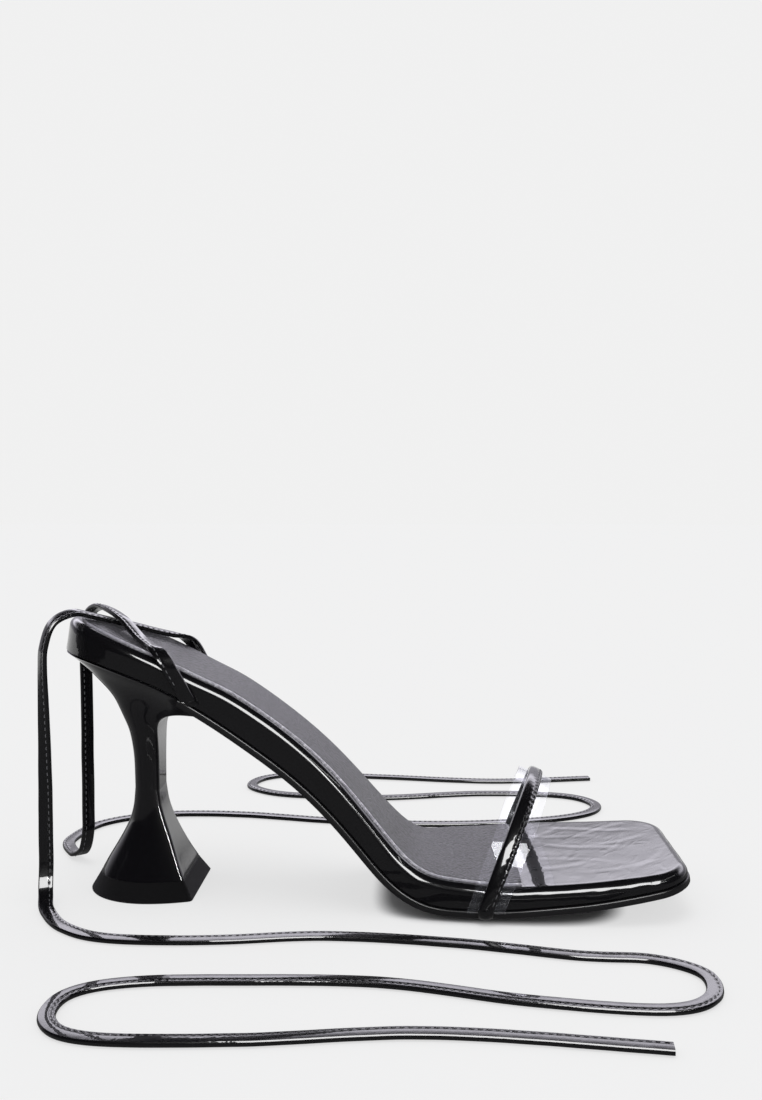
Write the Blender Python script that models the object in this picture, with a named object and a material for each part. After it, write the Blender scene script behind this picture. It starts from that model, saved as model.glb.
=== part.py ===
"""Lace up heeled sandal for the right foot: a wrapped footbed on a thin outsole, a flared block heel,
a clear band with a narrow strap over the ball of the foot, and two flat ties from the heel seam.

+X points to the toe, +Y to the inner (medial) side and +Z up; the floor is z = 0. Lengths are in metres.
"""
import math

import bmesh
import bpy
import numpy as np
from mathutils import Vector

# Sizes of the whole shoe
SHOE_LENGTH = 0.232
HEEL_RISE = 0.0896
LATERAL_BALL = 0.0355
MEDIAL_BALL = 0.0430
SEAT_ROUND = 0.030
TOE_CORNER = 0.013
GAP = 0.0003

# Footbed, outsole and sock
BED_THICK = 0.0105
RIM_ROUND = 0.0032
BED_FOOT_ROUND = 0.0006
OUTSOLE_THICK = 0.0024
OUTSOLE_LIP = 0.0004
OUTSOLE_BACK = 0.0480
TREAD_INSET = 0.0050
SOCK_THICK = 0.0008
SOCK_INSET = 0.0042
SOCK_LENGTH = 0.1720

# Heel and top piece
BREAST_REACH = 0.0550
WAIST_HEIGHT = 0.0390
WAIST_BACK = 0.0256
WAIST_LENGTH = 0.0104
WAIST_WIDTH = 0.0165
FOOT_BACK = 0.0125
FOOT_LENGTH = 0.0345
FOOT_WIDTH = 0.0345
LIFT_HEIGHT = 0.0067
LIFT_FLARE = 0.0038
HEEL_INSET = 0.0002

# Plan of the heel at each level: where it is widest, as a share of its length from the back, and how
# wide its breast is at the waist and at the foot, as a share of that widest place
HEEL_WIDEST = 0.58
WAIST_BREAST = 0.76
FOOT_BREAST = 0.84

# Straps over the ball of the foot
CLEAR_WIDTH = 0.0132
CLEAR_THICK = 0.0009
STRAP_WIDTH = 0.0056
STRAP_THICK = 0.0019
STRAP_LATERAL = 0.1585
STRAP_MEDIAL = 0.1720
STRAP_RISE = 0.0316
STRAP_LEAN = 0.41
STRAP_EASE = 0.0007
STRAP_SQUARENESS = 2.35
UPRIGHT_SHARE = 0.6
TUCK_ROUND = 0.0010
TUCK_LENGTH = 0.0035

# Ties
TIE_WIDTH = 0.0052
TIE_THICK = 0.0018

# Columns: share of the length from the back, rise as a share of HEEL_RISE, thickness as a share of
# BED_THICK, the half widths as shares of LATERAL_BALL and MEDIAL_BALL, and the rise of the middle of
# the outsole's underside, which lies lower than its edge under the forefoot
SOLE_ROWS = (
    (0.000, 1.000, 1.24, 0.69, 0.490, 1.000),
    (0.052, 0.978, 1.08, 0.70, 0.495, 0.978),
    (0.100, 0.944, 0.95, 0.70, 0.495, 0.944),
    (0.152, 0.893, 0.89, 0.70, 0.480, 0.893),
    (0.204, 0.830, 0.88, 0.69, 0.450, 0.830),
    (0.261, 0.742, 0.91, 0.68, 0.405, 0.742),
    (0.317, 0.644, 0.94, 0.68, 0.370, 0.644),
    (0.374, 0.536, 0.94, 0.68, 0.350, 0.536),
    (0.422, 0.430, 0.92, 0.70, 0.355, 0.430),
    (0.465, 0.316, 0.91, 0.73, 0.385, 0.316),
    (0.500, 0.212, 0.92, 0.76, 0.445, 0.212),
    (0.530, 0.125, 0.94, 0.80, 0.525, 0.125),
    (0.561, 0.062, 0.96, 0.83, 0.620, 0.060),
    (0.591, 0.028, 0.93, 0.87, 0.715, 0.020),
    (0.622, 0.017, 0.85, 0.90, 0.800, 0.000),
    (0.700, 0.022, 0.74, 0.97, 0.945, 0.000),
    (0.761, 0.038, 0.68, 1.00, 1.000, 0.018),
    (0.826, 0.056, 0.63, 1.00, 0.965, 0.040),
    (0.904, 0.085, 0.54, 0.96, 0.890, 0.072),
    (1.000, 0.130, 0.40, 0.87, 0.790, 0.118),
)

# Columns: share of the way up from the waist to the footbed, then how far the back, the breast and
# the sides have flared from the waist to the footbed's own outline
HEEL_TOP_ROWS = (
    (0.00, 0.000, 0.000, 0.000),
    (0.22, 0.011, 0.000, 0.012),
    (0.35, 0.038, 0.000, 0.045),
    (0.47, 0.085, 0.000, 0.110),
    (0.56, 0.160, 0.010, 0.185),
    (0.64, 0.235, 0.090, 0.270),
    (0.71, 0.310, 0.285, 0.360),
    (0.78, 0.450, 0.590, 0.470),
    (0.84, 0.590, 0.850, 0.590),
    (0.90, 0.720, 1.000, 0.730),
    (0.95, 0.870, 1.000, 0.870),
    (1.00, 1.000, 1.000, 1.000),
)

# Columns: share of the way down from the waist to the lift, then how far the back, the breast and
# the sides have flared from the waist to the heel's foot
HEEL_FOOT_ROWS = (
    (0.00, 0.000, 0.000, 0.000),
    (0.20, 0.045, 0.080, 0.035),
    (0.36, 0.140, 0.210, 0.110),
    (0.53, 0.330, 0.400, 0.250),
    (0.70, 0.570, 0.600, 0.480),
    (0.86, 0.810, 0.800, 0.760),
    (1.00, 1.000, 1.000, 1.000),
)

# Section of the padded strap, columns: share of its half width and share of its thickness
STRAP_CROWN = (
    (-1.00, 0.00),
    (1.00, 0.00),
    (1.00, 0.45),
    (0.72, 0.88),
    (0.00, 1.00),
    (-0.72, 0.88),
    (-1.00, 0.45),
)

# Which way a tie's outer face looks, at the places that its route names
FACES = {
    "outer_wall": (0.0, -1.0, 0.0),
    "inner_wall": (0.0, 1.0, 0.0),
    "seat": (0.33, 0.0, 0.94),
    "behind_inner": (-0.68, 0.73, 0.0),
    "behind_outer": (-0.73, -0.69, 0.0),
    "sideways": (-0.25, -0.97, 0.0),
    "forward": (0.35, -0.94, 0.0),
    "up": (0.0, 0.0, 1.0),
}

# Routes of the ties' middle lines, from the seam to the free end: x, y, z and the way the face looks
LATERAL_ROUTE = (
    (-0.0629, -0.0268, 0.0741, "outer_wall"),
    (-0.0685, -0.0293, 0.0840, "outer_wall"),
    (-0.0725, -0.0292, 0.0908, "outer_wall"),
    (-0.0764, -0.0259, 0.0942, "seat"),
    (-0.0801, -0.0217, 0.0955, "seat"),
    (-0.0850, -0.0163, 0.0976, "seat"),
    (-0.0895, -0.0114, 0.1005, "seat"),
    (-0.0940, -0.0066, 0.1034, "seat"),
    (-0.0992, -0.0010, 0.1054, "seat"),
    (-0.1035, 0.0036, 0.1064, "seat"),
    (-0.1078, 0.0082, 0.1067, "seat"),
    (-0.1133, 0.0141, 0.1035, "behind_inner"),
    (-0.1158, 0.0168, 0.0955, "behind_inner"),
    (-0.1163, 0.0173, 0.0860, "behind_inner"),
    (-0.1160, 0.0170, 0.0550, "behind_inner"),
    (-0.1160, 0.0170, 0.0230, "behind_inner"),
    (-0.1163, 0.0173, 0.0137, "behind_inner"),
    (-0.1190, 0.0202, 0.0050, "behind_inner"),
    (-0.1252, 0.0266, 0.0016, "up"),
    (-0.1325, 0.0440, 0.0012, "up"),
    (-0.1250, 0.0690, 0.0012, "up"),
    (-0.1000, 0.0830, 0.0012, "up"),
    (-0.0640, 0.0840, 0.0012, "up"),
    (-0.0200, 0.0760, 0.0012, "up"),
    (0.0260, 0.0730, 0.0012, "up"),
    (0.0680, 0.0790, 0.0012, "up"),
    (0.0960, 0.0910, 0.0012, "up"),
    (0.1030, 0.1080, 0.0012, "up"),
    (0.0880, 0.1220, 0.0012, "up"),
    (0.0480, 0.1240, 0.0012, "up"),
    (0.0020, 0.1150, 0.0012, "up"),
    (-0.0320, 0.1160, 0.0012, "up"),
    (-0.0550, 0.1210, 0.0012, "up"),
    (-0.0680, 0.1340, 0.0012, "up"),
    (-0.0630, 0.1500, 0.0012, "up"),
    (-0.0420, 0.1580, 0.0012, "up"),
    (0.0000, 0.1540, 0.0012, "up"),
    (0.0560, 0.1480, 0.0012, "up"),
    (0.1080, 0.1560, 0.0012, "up"),
)
MEDIAL_ROUTE = (
    (-0.0629, 0.0134, 0.0741, "inner_wall"),
    (-0.0685, 0.0169, 0.0840, "inner_wall"),
    (-0.0725, 0.0176, 0.0908, "inner_wall"),
    (-0.0765, 0.0149, 0.0942, "seat"),
    (-0.0803, 0.0112, 0.0956, "seat"),
    (-0.0850, 0.0068, 0.0974, "seat"),
    (-0.0900, 0.0023, 0.0995, "seat"),
    (-0.0950, -0.0022, 0.1014, "seat"),
    (-0.1000, -0.0067, 0.1033, "seat"),
    (-0.1045, -0.0108, 0.1050, "seat"),
    (-0.1102, -0.0160, 0.1067, "seat"),
    (-0.1160, -0.0214, 0.1035, "behind_outer"),
    (-0.1185, -0.0239, 0.0955, "behind_outer"),
    (-0.1190, -0.0244, 0.0860, "behind_outer"),
    (-0.1187, -0.0241, 0.0550, "sideways"),
    (-0.1187, -0.0241, 0.0230, "forward"),
    (-0.1186, -0.0245, 0.0137, "forward"),
    (-0.1174, -0.0285, 0.0050, "forward"),
    (-0.1140, -0.0365, 0.0016, "up"),
    (-0.1030, -0.0500, 0.0012, "up"),
    (-0.0850, -0.0580, 0.0012, "up"),
    (-0.0520, -0.0580, 0.0012, "up"),
    (-0.0120, -0.0530, 0.0012, "up"),
    (0.0320, -0.0570, 0.0012, "up"),
    (0.0700, -0.0650, 0.0012, "up"),
    (0.0940, -0.0670, 0.0012, "up"),
    (0.1080, -0.0770, 0.0012, "up"),
    (0.1060, -0.0930, 0.0012, "up"),
    (0.0900, -0.1010, 0.0012, "up"),
    (0.0520, -0.0970, 0.0012, "up"),
    (0.0080, -0.0870, 0.0012, "up"),
    (-0.0360, -0.0870, 0.0012, "up"),
    (-0.0700, -0.0900, 0.0012, "up"),
    (-0.0860, -0.0990, 0.0012, "up"),
    (-0.0860, -0.1150, 0.0012, "up"),
    (-0.0710, -0.1240, 0.0012, "up"),
    (-0.0300, -0.1230, 0.0012, "up"),
    (0.0240, -0.1170, 0.0012, "up"),
    (0.0880, -0.1230, 0.0012, "up"),
)

BACK_X = -SHOE_LENGTH / 2
TOE_X = SHOE_LENGTH / 2
SEAM_LOW = OUTSOLE_THICK + GAP
AXIS_Y = (LATERAL_BALL - MEDIAL_BALL) / 2
NOTCH_RISE = CLEAR_THICK + STRAP_THICK + 3 * GAP

# How finely the curves are read
SEAT_STEPS = 9
SEAT_FIRST_TURN = 6
RUN_STEPS = 26
CORNER_STEPS = 5
RIM_TURNS = (30, 60, 90)
HEEL_STATIONS = 15
HEEL_FIRST_SHARE = 0.006
HEEL_CROWDING = 1.15
HEEL_FOOT_STEPS = 9
HEEL_TOP_STEPS = 16
CUTTER_STEPS = 24
ARCH_STEPS = 40
TUCK_STEPS = 4
TIE_STEPS = 2


def column(rows, index, at):
    """Smooth value of one column of a table, without overshoot between its rows."""
    place = [row[0] for row in rows]
    value = [row[index] for row in rows]
    at = min(max(at, place[0]), place[-1])
    run = np.diff(place)
    slope = np.diff(value) / run
    lean = np.zeros(len(rows))
    for i in range(1, len(rows) - 1):
        if slope[i - 1] * slope[i] > 0:
            early = 2 * run[i] + run[i - 1]
            late = run[i] + 2 * run[i - 1]
            lean[i] = (early + late) / (early / slope[i - 1] + late / slope[i])
    lean[0] = slope[0]
    lean[-1] = slope[-1]
    i = min(int(np.searchsorted(place, at, side="right")) - 1, len(run) - 1)
    i = max(i, 0)
    t = (at - place[i]) / run[i]
    rest = 1 - t
    return (value[i] * (1 + 2 * t) * rest * rest + lean[i] * run[i] * t * rest * rest
            + value[i + 1] * t * t * (3 - 2 * t) - lean[i + 1] * run[i] * t * t * rest)


def along(x):
    return (x - BACK_X) / SHOE_LENGTH


def seam_z(x):
    """Height of the seam between the footbed and what is under it."""
    return SEAM_LOW + HEEL_RISE * column(SOLE_ROWS, 1, along(x))


def seam_lean(x):
    step = SHOE_LENGTH / 1000
    x = min(max(x, BACK_X + step), TOE_X - step)
    return math.atan2(seam_z(x + step) - seam_z(x - step), 2 * step)


def bed_thick(x):
    return BED_THICK * column(SOLE_ROWS, 2, along(x))


def side_widths(x):
    """Half widths of the footbed, outer side then inner side, before its ends are rounded."""
    return LATERAL_BALL * column(SOLE_ROWS, 3, along(x)), MEDIAL_BALL * column(SOLE_ROWS, 4, along(x))


def half_widths(x, inset=0.0):
    """Half widths at x of the outline drawn in by inset, with its round seat and toe corners."""
    lateral, medial = side_widths(x)
    lateral -= inset
    medial -= inset
    seat = SEAT_ROUND - inset
    behind = min(x - (BACK_X + inset), seat)
    keep = math.sqrt(max(0.0, 1 - (1 - behind / seat) ** 2))
    corner = TOE_CORNER - inset
    ahead = min(TOE_X - inset - x, corner)
    cut = corner - math.sqrt(max(0.0, corner ** 2 - (corner - ahead) ** 2))
    return lateral * keep - cut, medial * keep - cut


def on_sole(x, y, height):
    """The point at height above the seam, square to it, y being counted from the heel's middle."""
    lean = seam_lean(x)
    return Vector((x - height * math.sin(lean), AXIS_Y + y, seam_z(x) + height * math.cos(lean)))


def stations(inset=0.0, start=None, stop=None):
    """Places along the shoe where its outline is read, denser round the seat and the toe corners."""
    seat_end = BACK_X + SEAT_ROUND
    corner_start = TOE_X - TOE_CORNER
    places = []
    if start is None:
        radius = SEAT_ROUND - inset
        first = math.radians(SEAT_FIRST_TURN)
        for k in range(SEAT_STEPS):
            turn = first + (math.pi / 2 - first) * k / SEAT_STEPS
            places.append(seat_end - radius * math.cos(turn))
    else:
        places.append(start)
    tread = [BACK_X + SHOE_LENGTH * row[0] for row in SOLE_ROWS if row[5] == 0]
    run = [seat_end + (corner_start - seat_end) * k / RUN_STEPS for k in range(RUN_STEPS + 1)]
    reach = (corner_start - seat_end) / RUN_STEPS / 2
    run = [x for x in run if min(abs(x - edge) for edge in tread) > reach] + tread
    last = corner_start if stop is None else stop
    low = places[-1] + reach / 2
    high = last - reach / 2 if stop is not None else last + reach / 4
    places += sorted(x for x in run if low < x < high)
    if stop is None:
        radius = TOE_CORNER - inset
        for k in range(1, CORNER_STEPS + 1):
            places.append(corner_start + radius * math.sin(math.pi / 2 * k / CORNER_STEPS))
    else:
        places.append(stop)
    return places


def sole_ring(height, inset=0.0, start=None, stop=None):
    """Closed loop round the sole: its outer side from back to front, then its inner side back."""
    lateral = []
    medial = []
    for x in stations(inset, start, stop):
        outer, inner = half_widths(x, inset)
        up = height(x)
        lateral.append(on_sole(x, -outer, up))
        medial.append(on_sole(x, inner, up))
    return lateral + medial[::-1]


def loft(name, rings, ladder):
    """Closed solid through loops of equal length; a ladder closes it with strips from side to side."""
    shape = bmesh.new()
    count = len(rings[0])
    loops = [[shape.verts.new(point) for point in ring] for ring in rings]
    for low, high in zip(loops, loops[1:]):
        for i in range(count):
            j = (i + 1) % count
            shape.faces.new((low[i], low[j], high[j], high[i]))
    for loop in (loops[0], loops[-1]):
        if ladder:
            for i in range(count // 2 - 1):
                shape.faces.new((loop[i], loop[i + 1], loop[count - 2 - i], loop[count - 1 - i]))
        else:
            shape.faces.new(loop)
    bmesh.ops.recalc_face_normals(shape, faces=shape.faces)
    mesh = bpy.data.meshes.new(name)
    shape.to_mesh(mesh)
    shape.free()
    piece = bpy.data.objects.new(name, mesh)
    bpy.context.scene.collection.objects.link(piece)
    return piece


def finish(piece, colour, roughness, metallic=0.0):
    """Smooth shading with crisp edges, and the piece's own material."""
    piece.data.shade_smooth()
    piece.data.set_sharp_from_angle(angle=math.radians(35))
    material = bpy.data.materials.new(piece.name)
    material.use_nodes = True
    shader = material.node_tree.nodes["Principled BSDF"]
    shader.inputs["Base Color"].default_value = (*colour, 1.0)
    shader.inputs["Roughness"].default_value = roughness
    shader.inputs["Metallic"].default_value = metallic
    piece.data.materials.append(material)
    return piece


def cut(piece, cutter):
    """Take the cutter's volume out of a piece, and keep the cutter as a hidden guide."""
    cutter.hide_render = True
    cutter.display_type = "WIRE"
    change = piece.modifiers.new(cutter.name, "BOOLEAN")
    change.operation = "DIFFERENCE"
    change.solver = "EXACT"
    change.object = cutter


def flat(height):
    return lambda x: height


def build_footbed():
    """Wrapped platform with a rounded rim and a small round at its foot."""
    rings = [
        sole_ring(flat(0.0), BED_FOOT_ROUND),
        sole_ring(flat(BED_FOOT_ROUND)),
        sole_ring(lambda x: bed_thick(x) - RIM_ROUND),
    ]
    for turn in RIM_TURNS:
        drop = RIM_ROUND * (1 - math.sin(math.radians(turn)))
        inset = RIM_ROUND * (1 - math.cos(math.radians(turn)))
        rings.append(sole_ring(lambda x, drop=drop: bed_thick(x) - drop, inset))
    return finish(loft("footbed", rings, True), (0.012, 0.012, 0.014), 0.12)


def build_sock():
    """Lining sheet on the footbed, from the seat to under the straps."""
    low = lambda x: bed_thick(x) + GAP
    high = lambda x: bed_thick(x) + GAP + SOCK_THICK
    stop = BACK_X + SOCK_LENGTH
    rings = [sole_ring(low, SOCK_INSET, stop=stop), sole_ring(high, SOCK_INSET, stop=stop)]
    return finish(loft("sock", rings, True), (0.045, 0.043, 0.048), 0.75)


def tread_depth(x):
    """Height of the middle of the underside, counted square to the seam; it is on the floor at the ball."""
    rise = column(SOLE_ROWS, 5, along(x))
    if rise == 0:
        return -seam_z(x) / math.cos(seam_lean(x))
    return HEEL_RISE * (rise - column(SOLE_ROWS, 1, along(x))) - SEAM_LOW


def build_outsole():
    """Sheet from inside the heel's breast to the toe, proud of the wall, its edge off the floor."""
    start = BACK_X + OUTSOLE_BACK
    top = -GAP
    middle = -GAP - OUTSOLE_THICK / 2
    edge = -GAP - OUTSOLE_THICK
    rings = [
        sole_ring(tread_depth, TREAD_INSET, start=start),
        sole_ring(flat(edge), OUTSOLE_LIP, start=start),
        sole_ring(flat(middle), -OUTSOLE_LIP, start=start),
        sole_ring(flat(top), 0.0, start=start),
    ]
    return finish(loft("outsole", rings, True), (0.030, 0.028, 0.032), 0.35)


def heel_profile(share, breast):
    """Half width of a D shaped level of the heel, as a share of its widest."""
    if share < HEEL_WIDEST:
        return math.sqrt(max(0.0, 1 - ((HEEL_WIDEST - share) / HEEL_WIDEST) ** 2))
    return 1 - (1 - breast) * ((share - HEEL_WIDEST) / (1 - HEEL_WIDEST)) ** 2


def heel_shares():
    """Places from the heel's back to its breast, denser round the back."""
    for k in range(HEEL_STATIONS):
        turn = math.pi / 2 * k / (HEEL_STATIONS - 1)
        yield HEEL_FIRST_SHARE + (1 - HEEL_FIRST_SHARE) * (1 - math.cos(turn)) ** HEEL_CROWDING


def heel_level(rows, share):
    """One level of a heel table, read smoothly between its rows."""
    return share, column(rows, 1, share), column(rows, 2, share), column(rows, 3, share)


def heel_top_ring(row):
    """Level of the upper heel, between the level waist and the sloping seam of the footbed."""
    up, back_share, breast_share, side_share = row
    waist_back = BACK_X + WAIST_BACK
    waist_front = waist_back + WAIST_LENGTH
    back = waist_back + (BACK_X + HEEL_INSET - waist_back) * back_share
    front = waist_front + (BACK_X + BREAST_REACH - waist_front) * breast_share
    lateral = []
    medial = []
    for share in heel_shares():
        x = back + (front - back) * share
        seat_x = BACK_X + HEEL_INSET + (BREAST_REACH - HEEL_INSET) * share
        outer, inner = half_widths(seat_x, HEEL_INSET)
        waist = WAIST_WIDTH / 2 * heel_profile(share, WAIST_BREAST)
        outer = waist + (outer - waist) * side_share
        inner = waist + (inner - waist) * side_share
        z = WAIST_HEIGHT + (seam_z(x) + GAP - WAIST_HEIGHT) * up
        lateral.append(Vector((x, AXIS_Y - outer, z)))
        medial.append(Vector((x, AXIS_Y + inner, z)))
    return lateral + medial[::-1]


def heel_foot_ring(row, spread=0.0, level=None):
    """Level of the lower heel; spread widens it all round, for the lift under it."""
    down, back_share, breast_share, side_share = row
    waist_back = BACK_X + WAIST_BACK
    foot_back = BACK_X + FOOT_BACK
    back = waist_back + (foot_back - waist_back) * back_share - spread
    front = waist_back + WAIST_LENGTH
    front += (foot_back + FOOT_LENGTH - front) * breast_share + spread
    half = (WAIST_WIDTH + (FOOT_WIDTH - WAIST_WIDTH) * side_share) / 2 + spread
    z = WAIST_HEIGHT + (LIFT_HEIGHT + GAP - WAIST_HEIGHT) * down if level is None else level
    breast = WAIST_BREAST + (FOOT_BREAST - WAIST_BREAST) * side_share
    lateral = []
    medial = []
    for share in heel_shares():
        wide = half * heel_profile(share, breast)
        x = back + (front - back) * share
        lateral.append(Vector((x, AXIS_Y - wide, z)))
        medial.append(Vector((x, AXIS_Y + wide, z)))
    return lateral + medial[::-1]


def above_seam(name, start, stop, low, high, reach):
    """Cutter that follows the seam, between two heights square to it."""
    rings = []
    for height in (low, high):
        lateral = []
        medial = []
        for k in range(CUTTER_STEPS + 1):
            x = start + (stop - start) * k / CUTTER_STEPS
            lateral.append(on_sole(x, -reach, height))
            medial.append(on_sole(x, reach, height))
        rings.append(lateral + medial[::-1])
    return loft(name, rings, True)


def build_heel():
    """Block heel: a flare up to the footbed, a waist and a flare down to the lift."""
    rings = []
    for k in range(HEEL_FOOT_STEPS):
        rings.append(heel_foot_ring(heel_level(HEEL_FOOT_ROWS, 1 - k / HEEL_FOOT_STEPS)))
    for k in range(HEEL_TOP_STEPS + 1):
        rings.append(heel_top_ring(heel_level(HEEL_TOP_ROWS, k / HEEL_TOP_STEPS)))
    heel = loft("heel", rings, True)
    breast = BACK_X + BREAST_REACH
    margin = BREAST_REACH
    cut(heel, above_seam("heel_seat_cutter", BACK_X - margin / 4, breast + margin / 4, -GAP,
                         BED_THICK, margin))
    cut(heel, above_seam("heel_step_cutter", BACK_X + OUTSOLE_BACK - GAP, breast + margin / 4,
                         -2 * GAP - OUTSOLE_THICK, GAP, margin))
    return finish(heel, (0.012, 0.012, 0.014), 0.10)


def build_lift():
    """Rubber top piece, flared outwards to the floor."""
    foot = HEEL_FOOT_ROWS[-1]
    rings = [heel_foot_ring(foot, LIFT_FLARE, 0.0), heel_foot_ring(foot, 0.0, LIFT_HEIGHT)]
    return finish(loft("top_piece", rings, True), (0.018, 0.017, 0.018), 0.70)


def strap_base(x, side):
    """Where a strap meets the wall at x: side -1 is the outer wall and +1 the inner one."""
    step = SHOE_LENGTH / 500
    wide = [half_widths(place)[0 if side < 0 else 1] for place in (x - step, x, x + step)]
    slope = side * (wide[2] - wide[0]) / (2 * step)
    across = Vector((1.0, slope, math.tan(seam_lean(x)))).normalized()
    return Vector((x, AXIS_Y + side * wide[1], seam_z(x))), across


def strap_path():
    """Points of the straps' inner face, each with the direction across the strap and the way out."""
    lateral, lateral_across = strap_base(BACK_X + STRAP_LATERAL, -1)
    medial, medial_across = strap_base(BACK_X + STRAP_MEDIAL, 1)
    lateral.y -= STRAP_EASE
    medial.y += STRAP_EASE
    base_lift = NOTCH_RISE - GAP + TUCK_ROUND
    chord = (medial - lateral).normalized()
    crown_across = chord.cross(Vector((STRAP_LEAN, 0.0, 1.0)).normalized()).normalized()
    middle = (lateral.y + medial.y) / 2
    half = (medial.y - lateral.y) / 2
    points = []
    power = 2 / STRAP_SQUARENESS
    for k in range(ARCH_STEPS + 1):
        turn = math.pi * k / ARCH_STEPS
        cosine = math.cos(turn)
        y = middle - half * math.copysign(abs(cosine) ** power, cosine)
        rise = STRAP_RISE * abs(math.sin(turn)) ** power
        share = (y - lateral.y) / (medial.y - lateral.y)
        x = lateral.x + (medial.x - lateral.x) * share + STRAP_LEAN * rise
        z = lateral.z + (medial.z - lateral.z) * share + base_lift + rise
        blend = min(1.0, rise / (UPRIGHT_SHARE * STRAP_RISE))
        blend = blend * blend * (3 - 2 * blend)
        base_across = lateral_across if share < 0.5 else medial_across
        points.append((Vector((x, y, z)), base_across.lerp(crown_across, blend).normalized()))
    tucks = []
    for start, across, inward in ((points[0][0], lateral_across, 1), (points[-1][0], medial_across, -1)):
        inner = Vector((-across.y * inward, across.x * inward, 0.0)).normalized()
        if inner.y * inward < 0:
            inner = -inner
        turn_list = []
        for k in range(1, TUCK_STEPS + 1):
            turn = math.pi / 2 * k / TUCK_STEPS
            shift = inner * (TUCK_ROUND * (1 - math.cos(turn)))
            turn_list.append((start + shift - Vector((0, 0, TUCK_ROUND * math.sin(turn))), across))
        turn_list.append((turn_list[-1][0] + inner * TUCK_LENGTH, across))
        tucks.append(turn_list)
    return tucks[0][::-1] + points + tucks[1]


def strap_frames():
    """Inner face points with the across and outward directions worked out from the path."""
    path = strap_path()
    frames = []
    for i, (point, across) in enumerate(path):
        ahead = path[min(i + 1, len(path) - 1)][0]
        behind = path[max(i - 1, 0)][0]
        out = (ahead - behind).cross(across).normalized()
        frames.append((point, across, out))
    if frames[len(frames) // 2][2].z < 0:
        frames = [(point, across, -out) for point, across, out in frames]
    return frames


def build_clear_band():
    """Clear vinyl band over the ball of the foot, its ends tucked into the footbed's notches."""
    rings = []
    side = CLEAR_WIDTH / 2
    for point, across, out in strap_frames():
        rings.append([
            point - across * side,
            point + across * side,
            point + across * side + out * CLEAR_THICK,
            point - across * side + out * CLEAR_THICK,
        ])
    return finish(loft("strap_clear", rings, False), (0.85, 0.88, 0.92), 0.05)


def build_patent_strap():
    """Padded strap along the middle of the clear band, with a crowned face."""
    rings = []
    side = STRAP_WIDTH / 2
    for point, across, out in strap_frames():
        base = point + out * (CLEAR_THICK + GAP)
        rings.append([base + across * side * a + out * STRAP_THICK * b for a, b in STRAP_CROWN])
    return finish(loft("strap_patent", rings, False), (0.012, 0.012, 0.014), 0.12)


def smooth_route(route, steps):
    """Points read from one smooth curve through a route, each with the way its outer face looks."""
    path = [Vector(row[:3]) for row in route]
    face = [Vector(FACES[row[3]]) for row in route]
    points = []
    for i in range(len(path) - 1):
        before = path[max(i - 1, 0)]
        after = path[min(i + 2, len(path) - 1)]
        for k in range(steps):
            t = k / steps
            near, far = path[i], path[i + 1]
            curve = (near * 2 + (far - before) * t
                     + (before * 2 - near * 5 + far * 4 - after) * t ** 2
                     + (near * 3 - before - far * 3 + after) * t ** 3) / 2
            points.append((curve, face[i].lerp(face[i + 1], t)))
    points.append((path[-1], face[-1]))
    return points


def tie_frame(behind, ahead, face):
    """Directions along a tie, across its width and out of its outer face."""
    way = (ahead - behind).normalized()
    across = face.cross(way).normalized()
    return way, across, way.cross(across)


def build_tie(name, route):
    """Flat folded tie along its route; its sewn end is cut along the seam that it comes out of."""
    points = smooth_route(route, TIE_STEPS)
    lean = seam_lean(route[0][0])
    seam_up = Vector((-math.sin(lean), 0.0, math.cos(lean)))
    rings = []
    for i, (point, face) in enumerate(points):
        behind = points[max(i - 1, 0)][0]
        ahead = points[min(i + 1, len(points) - 1)][0]
        way, across, out = tie_frame(behind, ahead, face)
        ring = []
        for side, layer in ((-1, -1), (1, -1), (1, 1), (-1, 1)):
            offset = across * (side * TIE_WIDTH / 2) + out * (layer * TIE_THICK / 2)
            if i == 0:
                offset -= way * (offset.dot(seam_up) / way.dot(seam_up))
            ring.append(point + offset)
        rings.append(ring)
    return finish(loft(name, rings, False), (0.012, 0.012, 0.014), 0.12)


def tie_groove(name, route):
    """Cutter for the slot in the wall that a tie's sewn end lies in, run out along the tie."""
    start = Vector(route[0][:3])
    way, across, out = tie_frame(start, Vector(route[1][:3]), Vector(FACES[route[0][3]]))
    half = across * (TIE_WIDTH / 2 + GAP)
    floor = -out * (TIE_THICK / 2 + GAP)
    depth = out * TIE_WIDTH * 2
    rings = []
    for place in (start - way * TIE_WIDTH * 3, start + way * TIE_WIDTH * 4):
        end = place + floor
        rings.append([end - half, end + half, end + half + depth, end - half + depth])
    return loft(name, rings, False)


def wall_notch(name, x, side, width, rise, depth):
    """Cutter for a notch in the foot of the wall, where a strap goes in under the footbed."""
    base, across = strap_base(x, side)
    inward = Vector((-across.y, across.x, 0.0)).normalized() * -side
    if inward.y * side > 0:
        inward = -inward
    up = Vector((0.0, 0.0, 1.0))
    half = width / 2
    corners = []
    for level in (-BED_FOOT_ROUND - GAP, rise):
        corners.append([
            base - across * half - inward * depth + up * level,
            base + across * half - inward * depth + up * level,
            base + across * half + inward * depth + up * level,
            base - across * half + inward * depth + up * level,
        ])
    return loft(name, corners, False)


for thing in list(bpy.data.objects):
    bpy.data.objects.remove(thing, do_unlink=True)

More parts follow.
